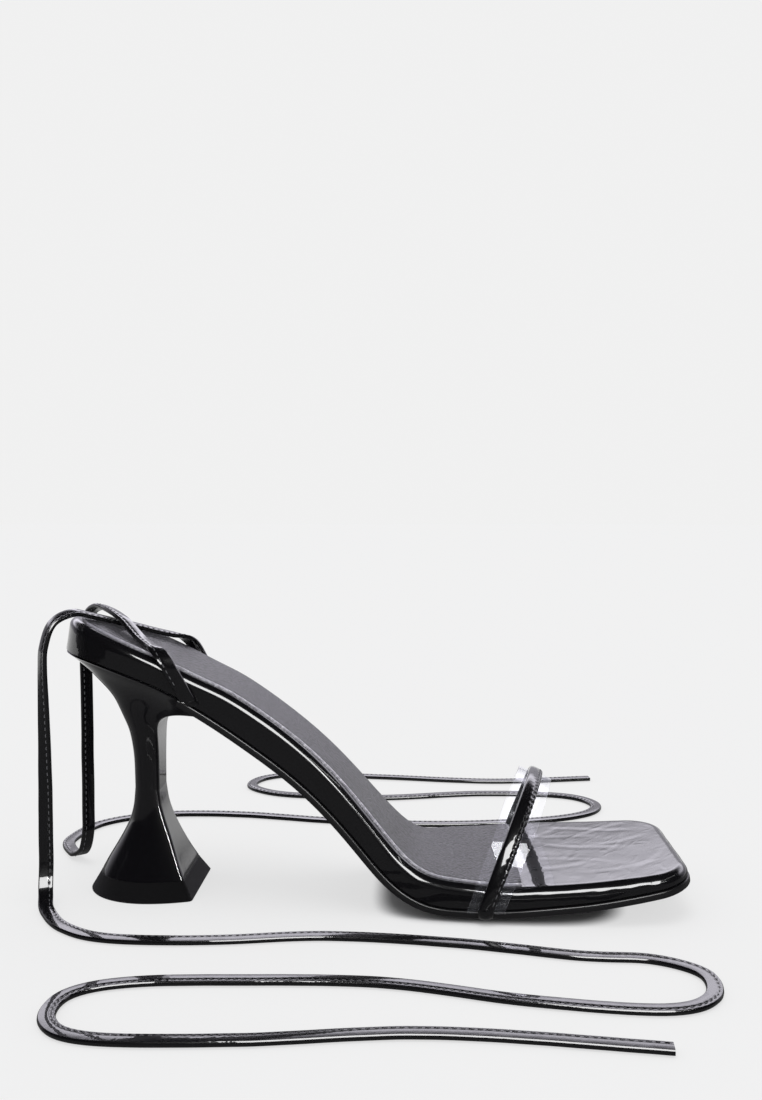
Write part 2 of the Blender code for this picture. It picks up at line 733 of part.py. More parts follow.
footbed = build_footbed()
notch_depth = TUCK_ROUND + TUCK_LENGTH + GAP
cut(footbed, wall_notch("lateral_notch_cutter", BACK_X + STRAP_LATERAL, -1,
                        CLEAR_WIDTH + 3 * GAP, NOTCH_RISE, notch_depth))
cut(footbed, wall_notch("medial_notch_cutter", BACK_X + STRAP_MEDIAL, 1,
                        CLEAR_WIDTH + 3 * GAP, NOTCH_RISE, notch_depth))
build_sock()
build_outsole()
build_heel()
build_lift()
build_clear_band()
build_patent_strap()
cut(footbed, tie_groove("lateral_groove_cutter", LATERAL_ROUTE))
cut(footbed, tie_groove("medial_groove_cutter", MEDIAL_ROUTE))
build_tie("tie_lateral", LATERAL_ROUTE)
build_tie("tie_medial", MEDIAL_ROUTE)
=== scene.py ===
"""Looks of a lace up heeled sandal for the right foot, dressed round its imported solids.

The sections follow the shoe as it is put together: studio, ties, footbed, sock, outsole, heel, top
piece, clear band and patent strap. Lengths are in metres, +X points to the toe, +Y to the inner side.
"""
import math

import bmesh
import bpy
import numpy as np
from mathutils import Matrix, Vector, noise


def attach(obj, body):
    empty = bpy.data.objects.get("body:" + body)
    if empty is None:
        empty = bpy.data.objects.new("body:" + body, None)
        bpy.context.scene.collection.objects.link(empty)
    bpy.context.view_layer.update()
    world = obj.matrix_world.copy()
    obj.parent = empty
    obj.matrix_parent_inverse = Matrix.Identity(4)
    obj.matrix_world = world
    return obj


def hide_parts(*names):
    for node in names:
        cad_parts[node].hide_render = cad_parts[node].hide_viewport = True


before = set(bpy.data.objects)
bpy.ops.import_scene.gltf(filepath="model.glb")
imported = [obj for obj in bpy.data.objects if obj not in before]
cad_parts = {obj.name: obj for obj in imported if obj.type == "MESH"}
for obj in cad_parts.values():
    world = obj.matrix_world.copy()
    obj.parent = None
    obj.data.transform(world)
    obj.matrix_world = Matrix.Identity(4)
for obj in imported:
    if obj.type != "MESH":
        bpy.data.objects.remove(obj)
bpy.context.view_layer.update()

# Studio: a pale floor in a pale room, a softbox over the toe and long strip lights over the side.
# The camera stands off the outer side of the shoe, 40 cm away, a little higher than the heel.
CAMERA_PLACE = (0.0204, -0.40475, 0.1487)
CAMERA_PITCH = 87.3
CAMERA_TURN = 2.32
CAMERA_LENS = 34.72
FILM_HEIGHT = 36.0
PALE = 0.875
AMBIENT = 0.62
SKY_ENERGY = 0.84
SKY_SPREAD = 36
SKY_TILT = (7, -2)

# The room as gloss mirrors it: bright behind the shoe, dark overhead and dimmer near the floor. Each
# FADE is where a change of light starts and ends, here in the Y or Z of a direction.
ROOM_GLOW = 2.9
ROOM_DARK = 0.006
BEHIND_FADE = (0.10, 0.60)
ABOVE_FADE = (0.62, 0.42)
LOW_FADE = (0.285, 0.40)
LOW_SHARE = 0.19

# The floor as gloss mirrors it, by metres of Y, and a painted shadow under the toes, where its colour is
# darkened. Round that place the floor is lifted to the backdrop's tone, by shares of the painted shadow's
# reach.
FLOOR_SIZE = 12.0
FLOOR_DROP = 0.0001
FLOOR_MIRRORED = 0.13
FLOOR_FAR_SHARE = 0.29
FLOOR_FADE = (0.05, 0.32)
CONTACT_PLACE = (0.048, -0.002, 0.0)
CONTACT_REACH = (0.044, 0.036, 1.0)
CONTACT_FADE = (0.45, 1.25)
PAINTED_CONTACT_SHADE = 0.50
LIFT_FADE = (0.60, 1.40)
SHADOW_LIFT = 0.75

# Columns: name, place, the point that the lamp looks at, width, depth and power
SOFTBOXES = (
    ("toe_softbox", (0.21, -0.75, 0.56), (0.07, -0.03, 0.0), 0.58, 0.42, 11.0),
    ("heel_line", (0.95, -0.50, 0.48), (-0.08, -0.01, 0.05), 0.035, 0.90, 22.0),
    ("upper_line", (0.60, -0.25, 0.60), (-0.02, -0.03, 0.05), 0.60, 0.009, 0.2),
    ("lower_line", (0.57, -0.66, 0.45), (-0.02, -0.03, 0.05), 0.50, 0.009, 0.5),
)


def add_object(name, data):
    made = bpy.data.objects.new(name, data)
    scene.collection.objects.link(made)
    return made


def set_inputs(node, inputs):
    """Set a node's inputs, or link them where the value is another node's output."""
    for key, value in inputs.items():
        if isinstance(value, bpy.types.NodeSocket):
            node.id_data.links.new(value, node.inputs[key])
        else:
            node.inputs[key].default_value = value


def add_node(tree, kind, settings=None, inputs=None):
    """A shader node with its settings and its inputs."""
    made = tree.nodes.new(kind)
    for key, value in (settings or {}).items():
        setattr(made, key, value)
    set_inputs(made, inputs or {})
    return made


def maths(tree, operation, *values):
    return add_node(tree, "ShaderNodeMath", {"operation": operation}, dict(enumerate(values))).outputs[0]


def vector_maths(tree, operation, first, second):
    made = add_node(tree, "ShaderNodeVectorMath", {"operation": operation}, {0: first, 1: second})
    return made.outputs["Value" if operation == "DOT_PRODUCT" else "Vector"]


def axis(tree, vector, letter):
    return add_node(tree, "ShaderNodeSeparateXYZ", None, {"Vector": vector}).outputs[letter]


def ramp(tree, value, start, end, low=0.0, high=1.0, kind="SMOOTHSTEP"):
    """A value that goes from low to high while another goes from start to end."""
    return add_node(tree, "ShaderNodeMapRange", {"interpolation_type": kind},
                    {"Value": value, "From Min": start, "From Max": end,
                     "To Min": low, "To Max": high}).outputs["Result"]


def spread(tree, value, low, high):
    """A share turned into a value between low and high."""
    return ramp(tree, value, 0.0, 1.0, low, high, "LINEAR")


def blend(tree, share, first, second):
    """Two shaders mixed."""
    return add_node(tree, "ShaderNodeMixShader", None, {0: share, 1: first, 2: second}).outputs[0]


def glowing(tree, kind, strength, colour=(1.0, 1.0, 1.0)):
    """A background or a surface that gives light."""
    return add_node(tree, kind, None, {"Color": (*colour, 1.0), "Strength": strength}).outputs[0]


def new_paint(name):
    """A material, its node tree, its main shader and the places on the piece."""
    paint = bpy.data.materials.new(name)
    paint.use_nodes = True
    tree = paint.node_tree
    place = add_node(tree, "ShaderNodeTexCoord").outputs["Object"]
    return paint, tree, tree.nodes["Principled BSDF"], place


def show_instead(tree, shader, shown):
    """Put a mixed shader on a material in the place of its main one."""
    tree.nodes.remove(shader)
    set_inputs(tree.nodes["Material Output"], {"Surface": shown})


scene = bpy.context.scene
view_lens = bpy.data.cameras.new("camera")
view_lens.sensor_fit = "VERTICAL"
view_lens.sensor_height = FILM_HEIGHT
view_lens.lens = CAMERA_LENS
camera = add_object("camera", view_lens)
camera.location = CAMERA_PLACE
camera.rotation_euler = (math.radians(CAMERA_PITCH), 0.0, math.radians(CAMERA_TURN))
scene.camera = camera
scene.view_settings.view_transform = "Standard"

room = bpy.data.worlds.new("room")
scene.world = room
room.use_nodes = True
tree = room.node_tree
tree.nodes.clear()
way = add_node(tree, "ShaderNodeTexCoord").outputs["Generated"]
height = axis(tree, way, "Z")
glow = maths(tree, "MULTIPLY", ramp(tree, axis(tree, way, "Y"), *BEHIND_FADE),
             ramp(tree, height, *ABOVE_FADE))
glow = maths(tree, "MULTIPLY", glow, ramp(tree, height, *LOW_FADE, LOW_SHARE, 1.0, "LINEAR"))
mirrored = glowing(tree, "ShaderNodeBackground", spread(tree, glow, ROOM_DARK, ROOM_GLOW),
                   (0.93, 0.905, 1.0))
plain = glowing(tree, "ShaderNodeBackground", PALE)
ambient = glowing(tree, "ShaderNodeBackground", AMBIENT, (0.98, 0.98, 1.0))
ray = add_node(tree, "ShaderNodeLightPath").outputs
shown = blend(tree, ray["Is Diffuse Ray"], plain, ambient)
shown = blend(tree, ray["Is Glossy Ray"], shown, mirrored)
add_node(tree, "ShaderNodeOutputWorld", None, {"Surface": shown})

floor_mesh = bpy.data.meshes.new("floor")
floor_mesh.from_pydata([(FLOOR_SIZE / 2 * x, FLOOR_SIZE / 2 * y, -FLOOR_DROP)
                        for x, y in ((-1, -1), (1, -1), (1, 1), (-1, 1))], [], [(0, 1, 2, 3)])
floor = add_object("floor", floor_mesh)
floor_paint, tree, shader, place = new_paint("floor_paint")
near = vector_maths(tree, "SUBTRACT", place, CONTACT_PLACE)
near = vector_maths(tree, "DIVIDE", near, CONTACT_REACH)
near = vector_maths(tree, "MULTIPLY", near, near)
near = vector_maths(tree, "DOT_PRODUCT", near, near)
# Painted shadow: the floor's colour darkens towards the place under the toes
tone = ramp(tree, near, *CONTACT_FADE, PAINTED_CONTACT_SHADE, 1.0)
matt = add_node(tree, "ShaderNodeBsdfDiffuse", None, {"Color": tone}).outputs[0]
lifted = glowing(tree, "ShaderNodeEmission", PALE)
depth = ramp(tree, axis(tree, place, "Y"), *FLOOR_FADE, FLOOR_MIRRORED, ROOM_GLOW * FLOOR_FAR_SHARE)
ray = add_node(tree, "ShaderNodeLightPath").outputs
lift = maths(tree, "MULTIPLY", ray["Is Camera Ray"], ramp(tree, near, *LIFT_FADE, 0.0, SHADOW_LIFT))
shown = blend(tree, lift, matt, lifted)
shown = blend(tree, ray["Is Glossy Ray"], shown, glowing(tree, "ShaderNodeEmission", depth))
show_instead(tree, shader, shown)
floor_mesh.materials.append(floor_paint)

sky = bpy.data.lights.new("sky", "SUN")
sky.energy = SKY_ENERGY
sky.angle = math.radians(SKY_SPREAD)
sky_lamp = add_object("sky", sky)
sky_lamp.rotation_euler = (math.radians(SKY_TILT[0]), math.radians(SKY_TILT[1]), 0.0)
sky_lamp.visible_glossy = False

# Each softbox shows only as a mirror image on gloss
for name, place, aim, width, depth, power in SOFTBOXES:
    lamp = bpy.data.lights.new(name, "AREA")
    lamp.shape = "RECTANGLE"
    lamp.size = width
    lamp.size_y = depth
    lamp.energy = power
    box = add_object(name, lamp)
    box.location = place
    box.rotation_euler = (Vector(aim) - Vector(place)).to_track_quat("-Z", "Y").to_euler()
    box.visible_camera = False
    box.visible_diffuse = False

# Ties: two flat strips of patent leather, folded double, turned and stitched along one edge.
# Each is sewn into the seam over the heel's front and would be wound up the leg and knotted;
# with no leg in them they cross on the sock, hang over the back of the heel and lie on the floor.
TIE_WIDTH = 0.0052
TIE_THICK = 0.0018
TIE_STEP = 0.0005
TIE_TWIST_EASE = 0.009
TIE_PROUD = 0.0023
TIE_PROUD_RUN = 0.0115
TIE_TUCK = 0.0035
STITCH_PITCH = 0.0024
STITCH_SHARE = 0.66
STITCH_RADIUS = 0.00017
STITCH_PLACE = 0.50
STITCH_HEIGHT = 0.86
STITCH_SKIP = 16
PUCKER_DEPTH = 0.00010
TIE_TUCKED = 0.35
TIE_LYING = 0.0012
TIE_SWAY = 0.00012
SWAY_PACE = 90
SEAM_UP = (0.51, 0.0, 0.86)

# Which way a tie's outer face looks, at the places that its route names
FACES = {
    "outer_wall": (0.0, -1.0, 0.0),
    "inner_wall": (0.0, 1.0, 0.0),
    "seat": (0.33, 0.0, 0.94),
    "behind_inner": (-0.68, 0.73, 0.0),
    "behind_outer": (-0.73, -0.69, 0.0),
    "sideways": (-0.25, -0.97, 0.0),
    "forward": (0.35, -0.94, 0.0),
    "up": (0.0, 0.0, 1.0),
}

# Routes of the ties' middle lines, from the seam to the free end: x, y, z and the way the face looks.
# A row of x and y alone lies flat on the floor.
LATERAL_ROUTE = (
    (-0.0629, -0.0268, 0.0741, "outer_wall"),
    (-0.0685, -0.0293, 0.0840, "outer_wall"),
    (-0.0725, -0.0292, 0.0908, "outer_wall"),
    (-0.0764, -0.0259, 0.0942, "seat"),
    (-0.0801, -0.0217, 0.0955, "seat"),
    (-0.0850, -0.0163, 0.0976, "seat"),
    (-0.0895, -0.0114, 0.1005, "seat"),
    (-0.0940, -0.0066, 0.1034, "seat"),
    (-0.0992, -0.0010, 0.1054, "seat"),
    (-0.1035, 0.0036, 0.1064, "seat"),
    (-0.1078, 0.0082, 0.1067, "seat"),
    (-0.1133, 0.0141, 0.1035, "behind_inner"),
    (-0.1158, 0.0168, 0.0955, "behind_inner"),
    (-0.1163, 0.0173, 0.0860, "behind_inner"),
    (-0.1160, 0.0170, 0.0550, "behind_inner"),
    (-0.1160, 0.0170, 0.0230, "behind_inner"),
    (-0.1163, 0.0173, 0.0137, "behind_inner"),
    (-0.1190, 0.0202, 0.0050, "behind_inner"),
    (-0.1252, 0.0266, 0.0016, "up"),
    (-0.1325, 0.0440),
    (-0.1250, 0.0690),
    (-0.1000, 0.0830),
    (-0.0640, 0.0840),
    (-0.0200, 0.0760),
    (0.0260, 0.0730),
    (0.0680, 0.0790),
    (0.0960, 0.0910),
    (0.1030, 0.1080),
    (0.0880, 0.1220),
    (0.0480, 0.1240),
    (0.0020, 0.1150),
    (-0.0320, 0.1160),
    (-0.0550, 0.1210),
    (-0.0680, 0.1340),
    (-0.0630, 0.1500),
    (-0.0420, 0.1580),
    (0.0000, 0.1540),
    (0.0560, 0.1480),
    (0.1080, 0.1560),
)
MEDIAL_ROUTE = (
    (-0.0629, 0.0134, 0.0741, "inner_wall"),
    (-0.0685, 0.0169, 0.0840, "inner_wall"),
    (-0.0725, 0.0176, 0.0908, "inner_wall"),
    (-0.0765, 0.0149, 0.0942, "seat"),
    (-0.0803, 0.0112, 0.0956, "seat"),
    (-0.0850, 0.0068, 0.0974, "seat"),
    (-0.0900, 0.0023, 0.0995, "seat"),
    (-0.0950, -0.0022, 0.1014, "seat"),
    (-0.1000, -0.0067, 0.1033, "seat"),
    (-0.1045, -0.0108, 0.1050, "seat"),
    (-0.1102, -0.0160, 0.1067, "seat"),
    (-0.1160, -0.0214, 0.1035, "behind_outer"),
    (-0.1185, -0.0239, 0.0955, "behind_outer"),
    (-0.1190, -0.0244, 0.0860, "behind_outer"),
    (-0.1187, -0.0241, 0.0550, "sideways"),
    (-0.1187, -0.0241, 0.0230, "forward"),
    (-0.1186, -0.0245, 0.0137, "forward"),
    (-0.1174, -0.0285, 0.0050, "forward"),
    (-0.1140, -0.0365, 0.0016, "up"),
    (-0.1030, -0.0500),
    (-0.0850, -0.0580),
    (-0.0520, -0.0580),
    (-0.0120, -0.0530),
    (0.0320, -0.0570),
    (0.0700, -0.0650),
    (0.0940, -0.0670),
    (0.1080, -0.0770),
    (0.1060, -0.0930),
    (0.0900, -0.1010),
    (0.0520, -0.0970),
    (0.0080, -0.0870),
    (-0.0360, -0.0870),
    (-0.0700, -0.0900),
    (-0.0860, -0.0990),
    (-0.0860, -0.1150),
    (-0.0710, -0.1240),
    (-0.0300, -0.1230),
    (0.0240, -0.1170),
    (0.0880, -0.1230),
)

# Section of a folded tie, columns: share of its half width, share of its half thickness, and how far
# the point goes in with the stitches
TIE_SECTION = (
    (-1.00, 0.00, 0.0), (-0.97, 0.52, 0.0), (-0.86, 0.90, 0.0), (-0.40, 1.00, 0.0), (0.10, 1.00, 0.0),
    (0.36, 0.98, 0.3), (0.50, 0.86, 1.0), (0.64, 0.97, 0.4), (0.86, 0.88, 0.1), (0.97, 0.50, 0.0),
    (1.00, 0.00, 0.0), (0.97, -0.50, 0.0), (0.86, -0.88, 0.1), (0.64, -0.97, 0.4), (0.50, -0.86, 1.0),
    (0.36, -0.98, 0.3), (0.10, -1.00, 0.0), (-0.40, -1.00, 0.0), (-0.86, -0.90, 0.0), (-0.97, -0.52, 0.0),
)


def smoothstep(value, low, high):
    share = np.clip((value - low) / (high - low), 0.0, 1.0)
    return share * share * (3 - 2 * share)


def unit(vectors):
    return vectors / np.linalg.norm(vectors, axis=-1, keepdims=True)


def run_along(points):
    """How far along a line each of its points is."""
    return np.concatenate([[0.0], np.cumsum(np.linalg.norm(np.diff(points, axis=0), axis=1))])


def at_places(places, run, values):
    """Values of a line, read at other places along it."""
    return np.stack([np.interp(places, run, values[:, k]) for k in range(values.shape[1])], 1)


def read_route(route, step):
    """Points at equal steps on the smooth curve through a route, and the way the face looks there."""
    route = [row if len(row) == 4 else (*row, TIE_LYING, "up") for row in route]
    path = np.array([row[:3] for row in route])
    face = np.array([FACES[row[3]] for row in route])
    t = np.linspace(0.0, 1.0, 60, endpoint=False)[:, None]
    curve = []
    looks = []
    for i in range(len(path) - 1):
        before, near = path[max(i - 1, 0)], path[i]
        far, after = path[i + 1], path[min(i + 2, len(path) - 1)]
        curve.append((near * 2 + (far - before) * t + (before * 2 - near * 5 + far * 4 - after) * t ** 2
                      + (near * 3 - before - far * 3 + after) * t ** 3) / 2)
        looks.append(face[i] + (face[i + 1] - face[i]) * t)
    curve = np.vstack(curve + [path[-1:]])
    looks = np.vstack(looks + [face[-1:]])
    run = run_along(curve)
    places = np.linspace(0.0, run[-1], int(round(run[-1] / step)) + 1)
    return places, at_places(places, run, curve), at_places(places, run, looks)


def eased(values, count):
    """Values along a line, smoothed by a bell of count steps, with their ends kept."""
    reach = np.arange(-3 * count, 3 * count + 1)
    bell = np.exp(-0.5 * (reach / count) ** 2)
    bell /= bell.sum()
    ends = 3 * count
    head = 2 * values[:1] - values[1:ends + 1][::-1]
    tail = 2 * values[-1:] - values[-ends - 1:-1][::-1]
    full = np.vstack([head, values, tail])
    return np.stack([np.convolve(full[:, k], bell, mode="valid") for k in range(values.shape[1])], 1)


def strip_frames(points, faces):
    """Directions along a strip, across it and out of its face."""
    way = unit(np.gradient(points, axis=0))
    across = unit(np.cross(faces, way))
    return way, across, np.cross(way, across)


def make_piece(name, points, faces, paint, node=None):
    """A mesh object that rides with the shoe, smooth except at crisp edges."""
    mesh = bpy.data.meshes.new(name)
    mesh.from_pydata([tuple(point) for point in points], [], faces)
    mesh.validate()
    shape = bmesh.new()
    shape.from_mesh(mesh)
    bmesh.ops.recalc_face_normals(shape, faces=shape.faces)
    shape.to_mesh(mesh)
    shape.free()
    mesh.shade_smooth()
    mesh.set_sharp_from_angle(angle=math.radians(40))
    mesh.materials.append(paint)
    piece = add_object(name, mesh)
    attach(piece, "root")
    if node:
        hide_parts(node)
    return piece


def tube_faces(rows, count, start=0, caps=True):
    """Quads between closed rings of count points, and a face over each end."""
    faces = []
    for i in range(rows - 1):
        low = start + i * count
        for k in range(count):
            j = (k + 1) % count
            faces.append((low + k, low + j, low + count + j, low + count + k))
    if caps:
        faces.append(tuple(range(start, start + count)))
        faces.append(tuple(range(start + (rows - 1) * count, start + rows * count)))
    return faces


def ring_piece(name, rings, paint, node):
    """A closed piece through rings of points, with a face over each end."""
    rings = np.asarray(rings)
    return make_piece(name, rings.reshape(-1, 3), tube_faces(len(rings), len(rings[0])), paint, node)


def cloud(tree, place, scale, detail, roughness=0.5, distortion=0.0, kind="FBM"):
    """A soft noise that fills the piece."""
    return add_node(tree, "ShaderNodeTexNoise", {"noise_type": kind},
                    {"Vector": place, "Scale": scale, "Detail": detail, "Roughness": roughness,
                     "Distortion": distortion}).outputs["Fac"]


def relief(tree, height, distance, before=None):
    """The surface's direction, bumped by a height, on top of an earlier bump."""
    inputs = {"Height": height, "Distance": distance}
    if before:
        inputs["Normal"] = before
    return add_node(tree, "ShaderNodeBump", None, inputs).outputs["Normal"]


def tint(tree, share, first, second):
    """Two colours mixed."""
    return add_node(tree, "ShaderNodeMixRGB", None, {0: share, 1: first, 2: second}).outputs[0]


def patent_film(name, peel_size, peel_depth, crinkle_size, crinkle_depth):
    """Black patent: dyed leather under a clear glossy film, with a fine peel and longer crinkles."""
    paint, tree, shader, place = new_paint(name)
    crinkle = cloud(tree, place, 1 / crinkle_size, 3.0, 0.55, 0.6)
    peel = relief(tree, cloud(tree, place, 1 / peel_size, 2.0), peel_depth)
    waves = relief(tree, crinkle, crinkle_depth, peel)
    set_inputs(shader, {"Base Color": (0.0042, 0.0040, 0.0050, 1.0), "Specular IOR Level": 0.12,
                        "Roughness": spread(tree, crinkle, 0.22, 0.34), "Normal": waves,
                        "Coat Normal": waves, "Coat Weight": 1.0, "Coat Roughness": 0.018,
                        "Coat IOR": 1.55})
    return paint


def thread_yarn():
    """Twisted sewing thread, black but painted grey as a highlight for the glints on its stitches, its tone
    varied by a fine noise.
    """
    paint, tree, shader, place = new_paint("tie_thread")
    ply = cloud(tree, place, 6000.0, 1.0)
    # Painted highlight: the grey stands in for glints on the stitches
    tone = tint(tree, ply, (0.102, 0.102, 0.108, 1.0), (0.17, 0.17, 0.18, 1.0))
    set_inputs(shader, {"Base Color": tone, "Normal": relief(tree, ply, 0.00004), "Roughness": 0.42})
    return paint


def stitch_row(centres, across, outward, places, pitch, span):
    """Points and faces of stitches sewn along a span of a line, each sunk into the leather at both ends."""
    centres, across, outward, places = [part[span] for part in (centres, across, outward, places)]
    places = places - places[0]
    sides = 6
    sinks = (-1.3, 0.5, 0.9, 0.5, -1.3)
    points = []
    faces = []
    count = int(places[-1] / pitch) - 2
    way = unit(np.gradient(centres, axis=0))
    for n in range(1, count + 1):
        start = n * pitch
        for k, sink in enumerate(sinks):
            at = start + pitch * STITCH_SHARE * (k / (len(sinks) - 1))
            i = min(int(round(at / places[-1] * (len(places) - 1))), len(places) - 1)
            middle = centres[i] + outward[i] * STITCH_RADIUS * sink + way[i] * (at - places[i])
            for side in range(sides):
                turn = 2 * math.pi * side / sides
                points.append(middle + across[i] * STITCH_RADIUS * math.cos(turn)
                              + outward[i] * STITCH_RADIUS * math.sin(turn))
        faces += tube_faces(len(sinks), sides, (n - 1) * sides * len(sinks))
    return points, faces


tie_patent = patent_film("tie_patent", 0.0016, 0.000006, 0.007, 0.00006)
tie_thread = thread_yarn()
ties = []
for tie_name, route in (("tie_lateral", LATERAL_ROUTE), ("tie_medial", MEDIAL_ROUTE)):
    places, middle, looks = read_route(route, TIE_STEP)
    looks = eased(looks, int(TIE_TWIST_EASE / TIE_STEP / 2))
    way, across, outward = strip_frames(middle, looks)
    proud = TIE_PROUD * np.clip(1 - places / TIE_PROUD_RUN, 0.0, 1.0)
    proud *= TIE_TUCKED + (1 - TIE_TUCKED) * smoothstep(places, 0.0, TIE_TUCK)
    laid = middle + outward * proud[:, None]
    sway = np.array([noise.noise(Vector(point) * SWAY_PACE) for point in laid])
    laid = laid + across * (sway * TIE_SWAY)[:, None]
    pucker = 0.5 - 0.5 * np.cos(2 * math.pi * places / STITCH_PITCH)
    rings = []
    for share_wide, share_thick, drawn in TIE_SECTION:
        thick = TIE_THICK / 2 * share_thick - math.copysign(drawn * PUCKER_DEPTH, share_thick) * pucker
        rings.append(laid + across * (TIE_WIDTH / 2 * share_wide) + outward * thick[:, None])
    rings = np.stack(rings, 1)
    seam_up = unit(np.array(SEAM_UP))
    for i in range(int(TIE_WIDTH * 2 / TIE_STEP)):
        depth = (rings[i] - laid[0]) @ seam_up
        low = np.minimum(depth, 0.0)
        rings[i] -= way[0] * (low / (way[0] @ seam_up))[:, None]
    tie = ring_piece(tie_name, rings, tie_patent, tie_name)
    ties.append(tie)
    rows = []
    row_faces = []
    for layer in (1, -1):
        line = laid + across * (TIE_WIDTH / 2 * STITCH_PLACE)
        line = line + outward * (layer * (TIE_THICK / 2 * STITCH_HEIGHT - PUCKER_DEPTH * 0.5))
        row_points, faces = stitch_row(line, across, outward * layer, places, STITCH_PITCH,
                                       slice(STITCH_SKIP, None))
        row_faces += [tuple(k + len(rows) for k in face) for face in faces]
        rows += row_points
    stitches = make_piece(tie_name + "_stitches", rows, row_faces, tie_thread)

# Footbed: a board and foam platform, wrapped in black patent that is drawn round its rounded rim and
# lasted under its foot. It is thickest at the back, narrow at the waist and square at the toe.
SHOE_LENGTH = 0.232
HEEL_RISE = 0.0896
LATERAL_BALL = 0.0355
MEDIAL_BALL = 0.0430
SEAT_ROUND = 0.030
TOE_CORNER = 0.013
GAP = 0.0003
BED_THICK = 0.0105
RIM_ROUND = 0.0032
BED_FOOT_ROUND = 0.0006
OUTSOLE_THICK = 0.0024
SEAM_LOW = OUTSOLE_THICK + GAP
BACK_X = -SHOE_LENGTH / 2
TOE_X = SHOE_LENGTH / 2
AXIS_Y = (LATERAL_BALL - MEDIAL_BALL) / 2
SEAT_STEPS = 44
RUN_STEPS = 230
CORNER_STEPS = 16
CROSS_STEPS = 48
WALL_STEPS = 9
RIM_STEPS = 10
FAIRING = 0.0035
GAP_DRESSED = GAP * 0.3
PEEL_DEPTH = 0.000012
CREASE_WIDTH_UNIT = 1500
CREASE_DEPTH_UNIT = 1900
FOREFOOT_WAVE = 0.00005
RIM_GATHER = 0.00016
RIM_WAVE = 0.00003

# Columns: share of the length from the back, rise as a share of HEEL_RISE, thickness as a share of
# BED_THICK, the half widths as shares of LATERAL_BALL and MEDIAL_BALL, and the rise of the middle of
# the outsole's underside, which lies lower than its edge under the forefoot
SOLE_ROWS = (
    (0.000, 1.000, 1.24, 0.69, 0.490, 1.000),
    (0.052, 0.978, 1.08, 0.70, 0.495, 0.978),
    (0.100, 0.944, 0.95, 0.70, 0.495, 0.944),
    (0.152, 0.893, 0.89, 0.70, 0.480, 0.893),
    (0.204, 0.830, 0.88, 0.69, 0.450, 0.830),
    (0.261, 0.742, 1.03, 0.68, 0.405, 0.742),
    (0.317, 0.644, 1.05, 0.68, 0.370, 0.644),
    (0.374, 0.536, 1.01, 0.68, 0.350, 0.536),
    (0.422, 0.430, 0.93, 0.70, 0.355, 0.430),
    (0.465, 0.316, 0.86, 0.73, 0.385, 0.316),
    (0.500, 0.212, 0.83, 0.76, 0.445, 0.212),
    (0.530, 0.125, 0.83, 0.80, 0.525, 0.125),
    (0.561, 0.062, 0.85, 0.83, 0.620, 0.060),
    (0.591, 0.028, 0.89, 0.87, 0.715, 0.020),
    (0.622, 0.017, 0.88, 0.90, 0.800, 0.000),
    (0.700, 0.022, 0.74, 0.97, 0.945, 0.000),
    (0.761, 0.038, 0.68, 1.00, 1.000, 0.018),
    (0.826, 0.056, 0.63, 1.00, 0.965, 0.040),
    (0.904, 0.085, 0.54, 0.96, 0.890, 0.072),
    (1.000, 0.130, 0.40, 0.87, 0.790, 0.118),
)

# Creases pressed into the patent in front of the strap, columns: x and y of both ends in millimetres,
# then width and depth in parts of the units above
FOREFOOT_CREASES = (
    (58, -22, 84, -14, 2.4, 0.09),
    (61, -6, 92, -18, 2.0, 0.08),
    (66, 8, 98, -4, 2.6, 0.10),
    (60, 20, 88, 12, 2.2, 0.08),
    (70, 26, 104, 18, 2.8, 0.09),
    (78, -26, 108, -20, 2.2, 0.07),
    (84, 2, 110, 10, 2.4, 0.08),
    (72, -12, 80, 6, 1.8, 0.06),
    (90, -8, 100, 14, 2.0, 0.06),
    (64, 14, 76, 30, 1.8, 0.07),
    (96, -28, 111, -8, 2.4, 0.06),
    (59, -30, 70, -24, 1.6, 0.08),
    (80, 16, 108, 28, 2.2, 0.07),
    (57, 0, 66, 4, 1.5, 0.07),
)


def smooth_column(rows, index):
    """A curve through one column of a table, without overshoot between its rows."""
    place = np.array([row[0] for row in rows])
    value = np.array([row[index] for row in rows])
    run = np.diff(place)
    slope = np.diff(value) / run
    lean = np.zeros(len(rows))
    lean[0] = slope[0]
    lean[-1] = slope[-1]
    for i in range(1, len(rows) - 1):
        if slope[i - 1] * slope[i] > 0:
            early = 2 * run[i] + run[i - 1]
            late = run[i] + 2 * run[i - 1]
            lean[i] = (early + late) / (early / slope[i - 1] + late / slope[i])

    def read(at):
        at = np.clip(at, place[0], place[-1])
        i = np.clip(np.searchsorted(place, at, side="right") - 1, 0, len(run) - 1)
        t = (at - place[i]) / run[i]
        rest = 1 - t
        return (value[i] * (1 + 2 * t) * rest * rest + lean[i] * run[i] * t * rest * rest
                + value[i + 1] * t * t * (3 - 2 * t) - lean[i + 1] * run[i] * t * t * rest)
    return read


fair_grid = np.linspace(0.0, 1.0, 1161)
fair_step = SHOE_LENGTH / (len(fair_grid) - 1)
fair_columns = []
for column_index in (1, 2, 3, 4, 5):
    drawn = smooth_column(SOLE_ROWS, column_index)(fair_grid)[:, None]
    fair_columns.append(eased(drawn, int(FAIRING / fair_step))[:, 0])
fair_columns.append(np.gradient(SEAM_LOW + HEEL_RISE * fair_columns[0], fair_step))


def fair(index, x):
    return np.interp((x - BACK_X) / SHOE_LENGTH, fair_grid, fair_columns[index])


def seam_z(x):
    """Height of the seam between the footbed and what is under it."""
    return SEAM_LOW + HEEL_RISE * fair(0, x)


def bed_thick(x):
    return BED_THICK * fair(1, x)


